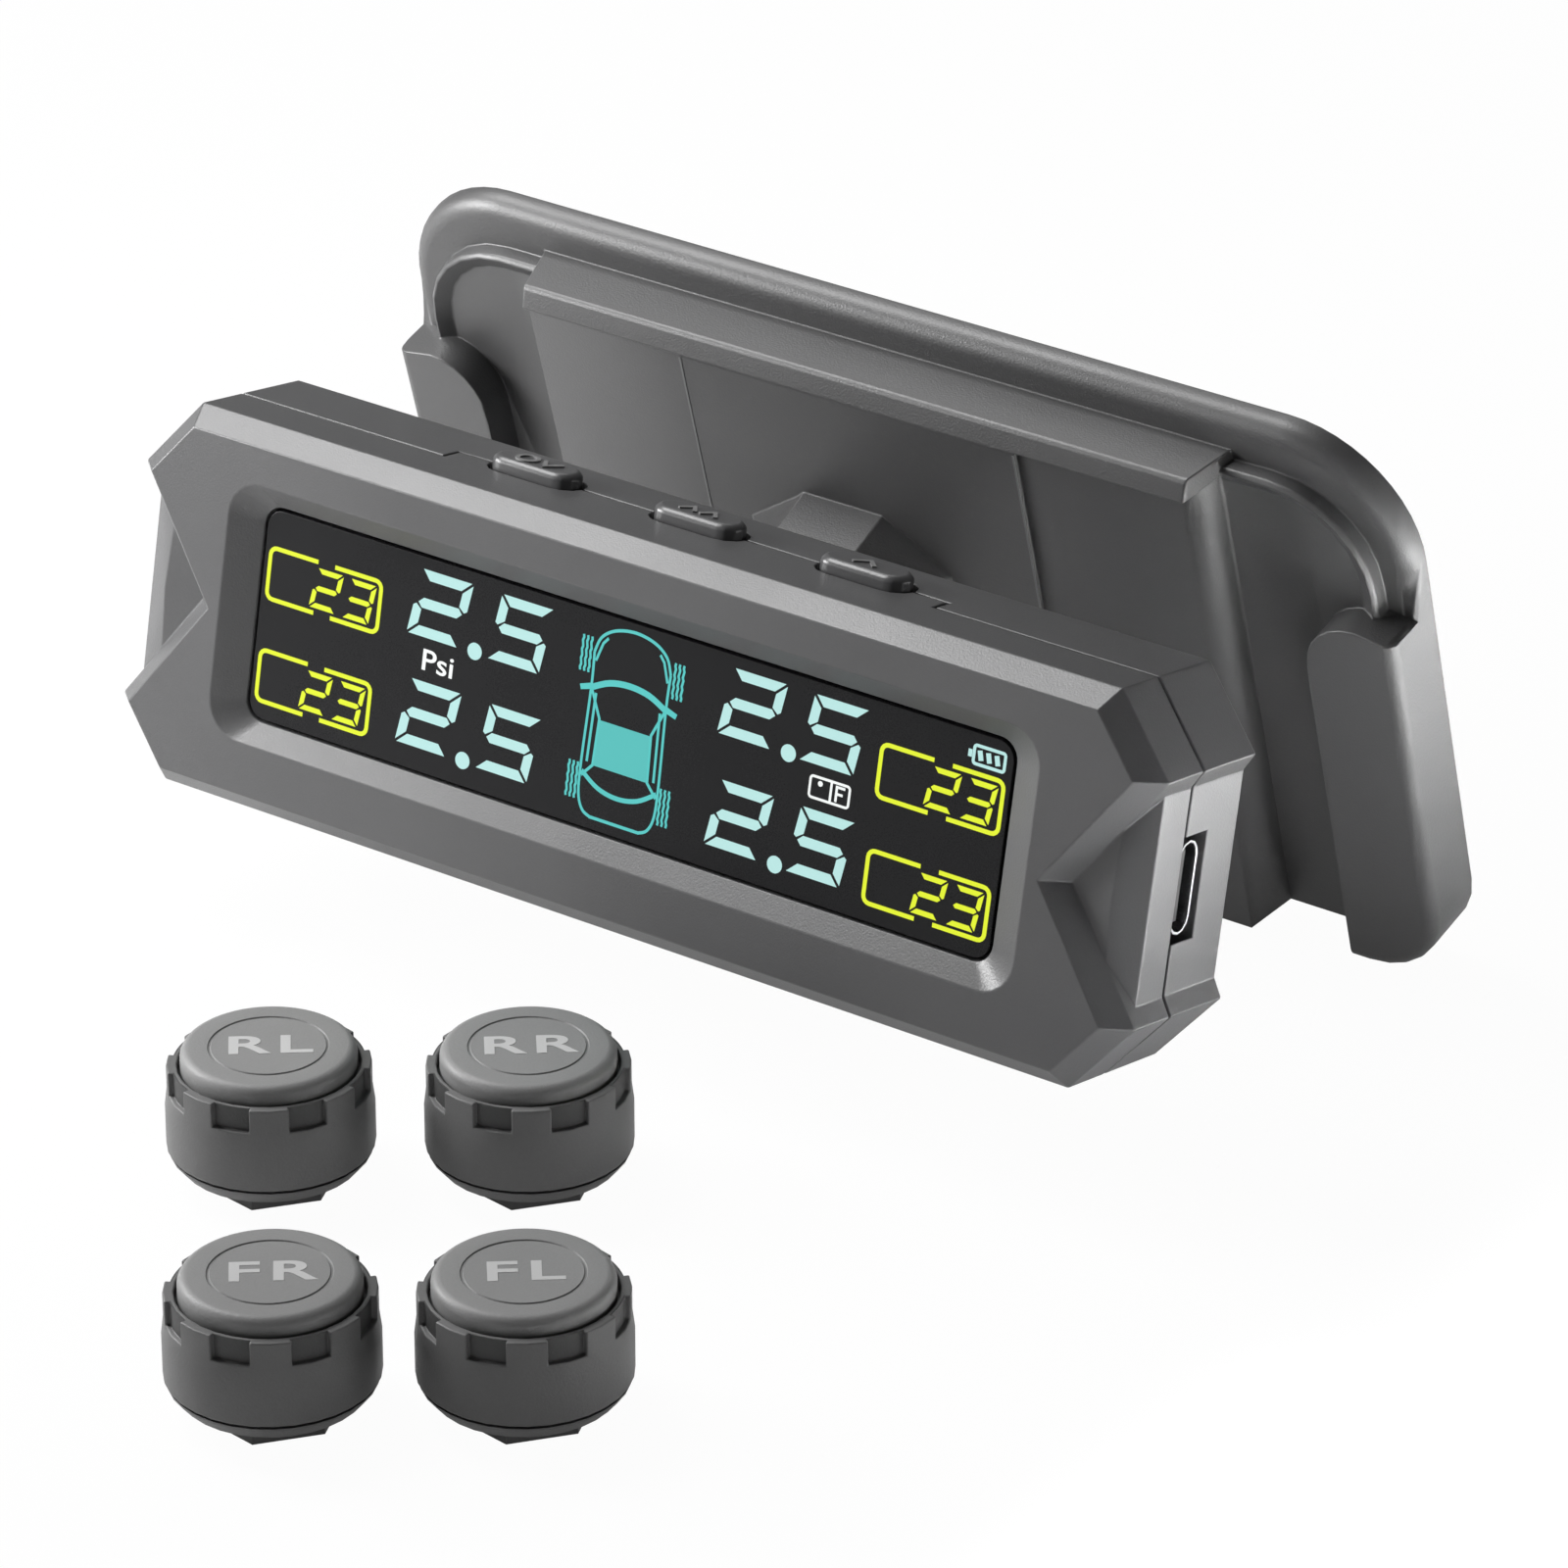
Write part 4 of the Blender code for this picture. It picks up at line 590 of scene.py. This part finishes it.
# A thin dark ring just inside the crown's teeth: painted shade that darkens the notches between them
def crownPaintedShadeBand(wheel, place):
    inner, outer = crown["radii"]
    foot, top = (lid["top"] - crown["drop"] + value for value in crown["heights"])
    profile = [(inner, foot), (outer, foot), (outer, top), (inner, top), (inner, foot)]
    turnedPiece("sensor_" + wheel + "_crownPaintedShadeBand", profile, place, "sensor_" + wheel + "_cap", paintedNotchShade)


for wheel in wheels:
    low, high = (Vector(corner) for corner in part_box("sensor_" + wheel + "_lid"))
    centre = (low + high) / 2
    place = Matrix.Translation((centre.x, centre.y, floorHeight)) @ Matrix.Rotation(sensorTurn, 4, "Z")
    turnedLid(wheel, place)
    crownPaintedShadeBand(wheel, place)
    top = place @ Matrix.Translation((0.0, 0.0, lid["top"] * mm)) @ Matrix.Scale(lid["stretch"], 4, (1, 0, 0))
    lettering("sensor_" + wheel + "_letters", wheel.upper(), lid["letters"], top, "sensor_" + wheel + "_cap",
              letterPrint, lid["bold"], lid["spacing"])
print("sensor lids turned")

# Raised marks on the buttons: a ring and a tick, a pair of chevrons, and one chevron, in a lighter plastic that paints
# the highlight along their raised edges
buttonMarks = {"top": 19.95, "depth": 10.4, "pitch": 18.6, "line": 0.42, "height": 0.16 * mm,
               "ring": (-1.1, 0.0, 1.0), "tick": ((0.4, 0.8), (1.4, -0.8), (2.4, 0.8)),
               "foot": -0.6, "rise": 1.3, "pair": (-1.1, 1.2), "pairWidth": 1.8, "singleWidth": 2.4}
# Lighter grey painted onto the marks for the highlight their raised edges catch
markPaintedHighlight = grainedMaterial("markPaintedHighlight", (0.2, 0.2, 0.2), 0.4, 5200.0, 0.2, 0.1)


def markLine(points, closed=False):
    return stroke(points, buttonMarks["line"], closed)


def chevron(x, width):
    foot, tip = buttonMarks["foot"], buttonMarks["foot"] + buttonMarks["rise"]
    return markLine([(x - width / 2, foot), (x, tip), (x + width / 2, foot)])


def buttonMark(name, index, outlines):
    flat = Matrix.Rotation(math.radians(-90), 4, "X")
    place = Matrix.Translation((index * buttonMarks["pitch"] * mm, buttonMarks["depth"] * mm, buttonMarks["top"] * mm))
    plates("buttonMark_" + name, outlines, markPaintedHighlight, "button_" + name,
           displayFrame @ place @ flat, 0.0, buttonMarks["height"])


buttonMark("left", -1, markLine(disc(*buttonMarks["ring"]), True) + markLine(buttonMarks["tick"]))
buttonMark("middle", 0, [part for x in buttonMarks["pair"] for part in chevron(x, buttonMarks["pairWidth"])])
buttonMark("right", 1, chevron(0.0, buttonMarks["singleWidth"]))
print("button marks raised")

# Floor, light and camera
studio = {"floorSize": 4.0, "floorDrop": 0.05 * mm, "floorColour": (0.8, 0.8, 0.8), "floorRoughness": 0.9,
          "floorWhite": 0.97, "floorGloss": 0.32, "world": 0.04, "glossWorld": 0.1}
deselectAll()
bpy.ops.mesh.primitive_plane_add(size=studio["floorSize"], location=(0, 0, floorHeight - studio["floorDrop"]))
floor = bpy.context.object
floor.name = "floor"
floorFinish = bpy.data.materials.new("paleFloor")
floorFinish.use_nodes = True
tree = floorFinish.node_tree
shader = tree.nodes["Principled BSDF"]
shader.inputs["Base Color"].default_value = (*studio["floorColour"], 1.0)
shader.inputs["Roughness"].default_value = studio["floorRoughness"]


# A share for what is seen straight, one for what is seen in a mirror, and one for the light that falls on things
def seenShare(tree, direct, mirrored, other):
    path = tree.nodes.new("ShaderNodeLightPath")
    total = None
    for ray, share in (("Is Camera Ray", direct), ("Is Glossy Ray", mirrored), ("Is Transmission Ray", mirrored)):
        part = tree.nodes.new("ShaderNodeMath")
        part.operation = "MULTIPLY"
        part.inputs[1].default_value = share
        tree.links.new(path.outputs[ray], part.inputs[0])
        most = tree.nodes.new("ShaderNodeMath")
        most.operation = "MAXIMUM"
        most.inputs[1].default_value = other
        tree.links.new(part.outputs[0], most.inputs[0])
        if total:
            tree.links.new(total, most.inputs[1])
        total = most.outputs[0]
    return total


white = tree.nodes.new("ShaderNodeEmission")
blend = tree.nodes.new("ShaderNodeMixShader")
tree.links.new(seenShare(tree, studio["floorWhite"], studio["floorGloss"], 0.0), blend.inputs["Fac"])
tree.links.new(shader.outputs[0], blend.inputs[1])
tree.links.new(white.outputs[0], blend.inputs[2])
tree.links.new(blend.outputs[0], tree.nodes["Material Output"].inputs["Surface"])
floor.data.materials.append(floorFinish)

world = bpy.data.worlds.new("studio")
bpy.context.scene.world = world
world.use_nodes = True
tree = world.node_tree
background = tree.nodes["Background"]
background.inputs["Color"].default_value = (1.0, 1.0, 1.0, 1.0)
tree.links.new(seenShare(tree, 1.0, studio["glossWorld"], studio["world"]), background.inputs["Strength"])

openSpread = 180.0
lamps = {
    "upperLeftSoftbox": {"at": (-0.42, -0.08, 0.64), "aim": (0.0, -0.05, 0.0), "size": (0.34, 0.34), "watts": 4.0},
    "nearLeftSoftbox": {"at": (-0.2, -0.13, 0.085), "aim": (-0.03, 0.05, 0.04), "size": (0.1, 0.1), "watts": 0.66},
    "leftFrontSoftbox": {"at": (-0.6, -0.7, 0.15), "aim": (0.0, -0.05, 0.0), "size": (0.4, 0.3), "watts": 0.6},
    "upperBackSoftbox": {"at": (-0.25, 0.35, 0.6), "aim": (0.0, 0.0, 0.0), "size": (0.3, 0.3), "watts": 0.55},
    "rightStrip": {"at": (0.65, 0.12, 0.0), "aim": (0.0, -0.05, 0.0), "size": (0.5, 0.05), "watts": 0.6},
    "rightFloorBounce": {"at": (0.14, 0.02, 0.03), "aim": (0.14, 0.02, -0.03), "size": (0.06, 0.16), "watts": 0.75,
                         "spread": 60.0},
    "cornerFloorBounce": {"at": (0.11, -0.09, -0.005), "aim": (0.11, -0.09, -0.03), "size": (0.05, 0.05),
                          "watts": 0.05, "spread": 60.0},
}
for name, lamp in lamps.items():
    deselectAll()
    bpy.ops.object.light_add(type="AREA", location=lamp["at"])
    light = bpy.context.object
    light.name = name
    light.data.shape = "RECTANGLE"
    light.data.size, light.data.size_y = lamp["size"]
    light.data.energy = lamp["watts"]
    light.data.spread = math.radians(lamp.get("spread", openSpread))
    light.rotation_euler = (Vector(lamp["aim"]) - Vector(lamp["at"])).to_track_quat("-Z", "Y").to_euler()

view = {"at": (401.41 * mm, -586.42 * mm, 337.88 * mm), "along": (-0.51803, 0.72338, -0.45647), "lens": 188.8,
        "sensor": 36.0, "nearest": 0.01}
deselectAll()
bpy.ops.object.camera_add(location=view["at"])
camera = bpy.context.object
camera.rotation_euler = Vector(view["along"]).to_track_quat("-Z", "Y").to_euler()
camera.data.lens = view["lens"]
camera.data.sensor_width = view["sensor"]
camera.data.clip_start = view["nearest"]
bpy.context.scene.camera = camera
bpy.context.scene.view_settings.view_transform = "Standard"
print("studio and camera placed")
